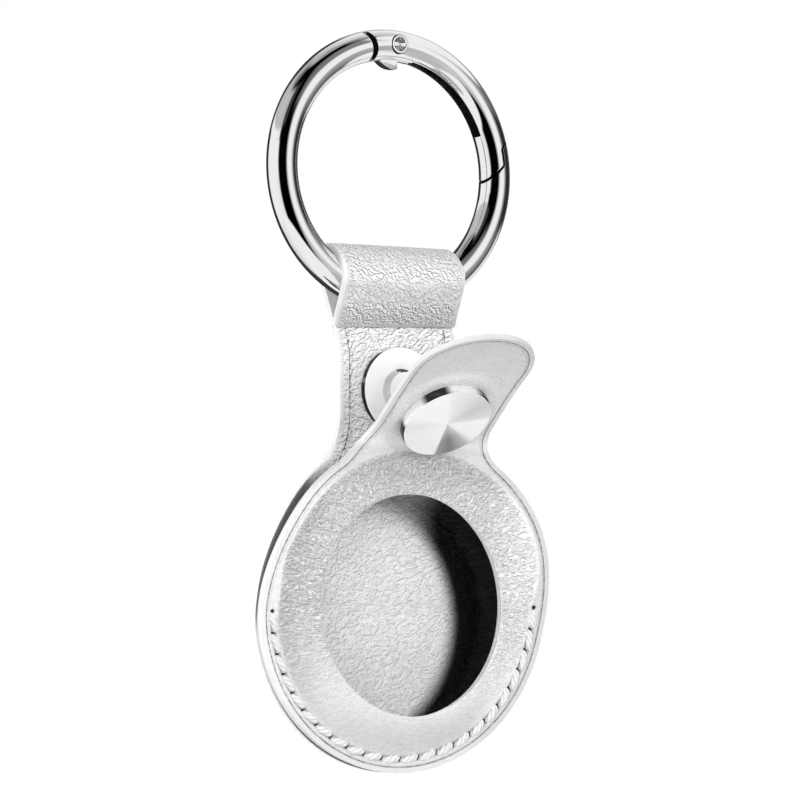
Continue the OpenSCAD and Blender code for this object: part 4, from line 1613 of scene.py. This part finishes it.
def make_world():
    """White to the camera, soft light for rough surfaces, dark and bright walls in reflections."""
    world = bpy.data.worlds.new("studio")
    bpy.context.scene.world = world
    world.use_nodes = True
    tree = world.node_tree
    tree.nodes.clear()
    out = tree.nodes.new("ShaderNodeOutputWorld")
    path = tree.nodes.new("ShaderNodeLightPath")
    x, y, z = axes(tree, add(tree, "ShaderNodeTexCoord").outputs["Generated"])
    # Degrees round the object: 0 at its left, 90 in front of it, 180 at its right, 270 behind
    turn = sums(tree, "ARCTAN2", sums(tree, "MULTIPLY", y, -1.0), sums(tree, "MULTIPLY", x, -1.0))
    share = sums(tree, "FRACT", sums(tree, "DIVIDE", turn, 2 * pi))
    studio = None
    for low, high, row in studio_rows:
        band = tones(tree, share, turns(*row))
        if studio is None:
            studio = band
        else:
            studio = blend_tone(tree, ramp(tree, z, low, high), studio, band)
    soft = tree.nodes.new("ShaderNodeBackground")
    soft.inputs[1].default_value = 1.0
    join(tree, blend_tone(tree, ramp(tree, z, -0.6, 0.9), ambient_low, ambient_high), soft.inputs[0])
    gloss = tree.nodes.new("ShaderNodeBackground")
    join(tree, studio, gloss.inputs[0])
    gloss.inputs[1].default_value = 1.0
    white = tree.nodes.new("ShaderNodeBackground")
    white.inputs[0].default_value = (1, 1, 1, 1)
    white.inputs[1].default_value = 1.0
    first = tree.nodes.new("ShaderNodeMixShader")
    join(tree, path.outputs["Is Glossy Ray"], first.inputs[0])
    join(tree, soft.outputs[0], first.inputs[1])
    join(tree, gloss.outputs[0], first.inputs[2])
    second = tree.nodes.new("ShaderNodeMixShader")
    join(tree, path.outputs["Is Camera Ray"], second.inputs[0])
    join(tree, first.outputs[0], second.inputs[1])
    join(tree, white.outputs[0], second.inputs[2])
    join(tree, second.outputs[0], out.inputs[0])


# Tones round the object in rows from the floor up, each with the heights where it takes over
studio_rows = (
    (-1, -1, ((0, 1.0), (240, 1.0), (360, 1.0))),
    (-0.9, -0.86, ((0, 1.0), (92, 1.0), (100, 0.55), (132, 0.6), (145, 1.0), (236, 1.0), (244, 0.04),
                   (286, 0.05), (300, 0.8), (360, 1.0))),
    (-0.5, -0.44, ((0, 1.0), (26, 0.9), (36, 0.0), (88, 0.0), (93, 0.4), (104, 0.7), (118, 0.55), (146, 0.35),
                   (178, 0.05), (192, 0.9), (222, 0.9), (236, 0.03), (294, 0.03), (302, 1.0), (360, 1.0))),
    (-0.12, -0.04, ((0, 1.0), (26, 1.0), (36, 0.0), (88, 0.0), (94, 0.4), (103, 1.0), (130, 1.0), (144, 0.3),
                    (156, 0.03), (200, 0.03), (212, 0.3), (222, 0.03), (296, 0.03), (302, 1.0), (360, 1.0))),
    (0.3, 0.34, ((0, 1.0), (24, 0.9), (30, 0.05), (36, 0.0), (84, 0.0), (90, 0.1), (104, 0.9), (128, 1.0),
                 (150, 0.35), (175, 0.12), (205, 0.2), (222, 0.1), (238, 0.05), (284, 0.04), (292, 0.8),
                 (300, 1.0), (360, 1.0))),
    (0.42, 0.48, ((0, 0.58), (27, 0.5), (32, 0.06), (50, 0.05), (56, 0.0), (72, 0.0), (82, 0.15), (100, 0.22),
                  (120, 0.25), (126, 1.0), (234, 1.0), (244, 0.5), (250, 0.04), (280, 0.04), (292, 0.55),
                  (360, 0.6))),
    (0.76, 0.84, ((0, 0.04), (20, 0.0), (110, 0.0), (132, 0.3), (150, 0.6), (240, 1.0), (290, 0.55),
                  (322, 0.3), (345, 0.15), (360, 0.04))),
    (0.93, 0.97, ((0, 0.5), (60, 0.3), (110, 0.4), (200, 0.8), (290, 0.6), (360, 0.5))))
ambient_low = 0.55
ambient_high = 0.42
# Where the lamps are aimed, and the floor's height, in metres
studio_middle = (0, 0, -0.045)
floor_z = -0.32

view_azimuth = -32.5
view_elevation = -5.3
view_scale = 8.14
# The ring's centre, in pixels of the 800 pixel frame
ring_px = (388.7, 170.6)


def make_camera():
    a, e = radians(view_azimuth), radians(view_elevation)
    back = Vector((sin(a) * cos(e), -cos(a) * cos(e), sin(e)))
    right = Vector((cos(a), sin(a), 0))
    up = back.cross(right)
    distance = 1500.0
    frame_px = 800
    beside = (frame_px / 2 - ring_px[0]) / view_scale
    below = (frame_px / 2 - ring_px[1]) / view_scale
    target = right * beside - up * below
    data = bpy.data.cameras.new("camera")
    data.sensor_width = 36
    data.lens = data.sensor_width * distance / (frame_px / view_scale)
    data.clip_start = 0.05
    data.clip_end = 20
    camera = linked("camera", data)
    camera.location = (target + back * distance) * MM
    camera.rotation_euler = back.to_track_quat("Z", "Y").to_euler()
    bpy.context.scene.camera = camera


def aimed(azimuth, elevation, distance):
    """A place seen from the pouch at an azimuth from straight ahead and an elevation, in degrees."""
    a, e = radians(azimuth), radians(elevation)
    return Vector((sin(a) * cos(e), -cos(a) * cos(e), sin(e))) * distance + Vector(studio_middle)


def make_studio():
    view = bpy.context.scene.view_settings
    view.view_transform = "Standard"
    make_world()
    card("key", (0.18, 0.18), aimed(12, 12, 0.5), studio_middle, 1.1)
    card("front", (0.3, 0.3), aimed(-42, 6, 0.5), studio_middle, 0.9)
    card("rim", (0.3, 0.4), aimed(-112, 10, 0.5), studio_middle, 1.6)
    deselect()
    bpy.ops.mesh.primitive_plane_add(size=6, location=(0, 0, floor_z))
    ground = bpy.context.active_object
    ground.name = "floor"
    seat(ground)
    material, tree, shader = node_material("pale_floor")
    shader.inputs["Base Color"].default_value = (0.8, 0.8, 0.8, 1)
    shader.inputs["Roughness"].default_value = 0.8
    path = tree.nodes.new("ShaderNodeLightPath")
    plain = tree.nodes.new("ShaderNodeEmission")
    both = tree.nodes.new("ShaderNodeMixShader")
    seen = sums(tree, "MAXIMUM", path.outputs["Is Camera Ray"], path.outputs["Is Glossy Ray"])
    join(tree, seen, both.inputs[0])
    join(tree, shader.outputs[0], both.inputs[1])
    join(tree, plain.outputs[0], both.inputs[2])
    out = next(n for n in tree.nodes if n.type == "OUTPUT_MATERIAL")
    join(tree, both.outputs[0], out.inputs[0])
    ground.data.materials.append(material)
    # Reflections show the studio's own rows instead of the floor
    ground.visible_glossy = False


make_camera()
make_front()
make_back()
make_stitches()
make_cap()
make_socket()
make_stud()
make_plate()
make_frame()
make_gate()
make_rivet()
make_gate_spring()
make_studio()
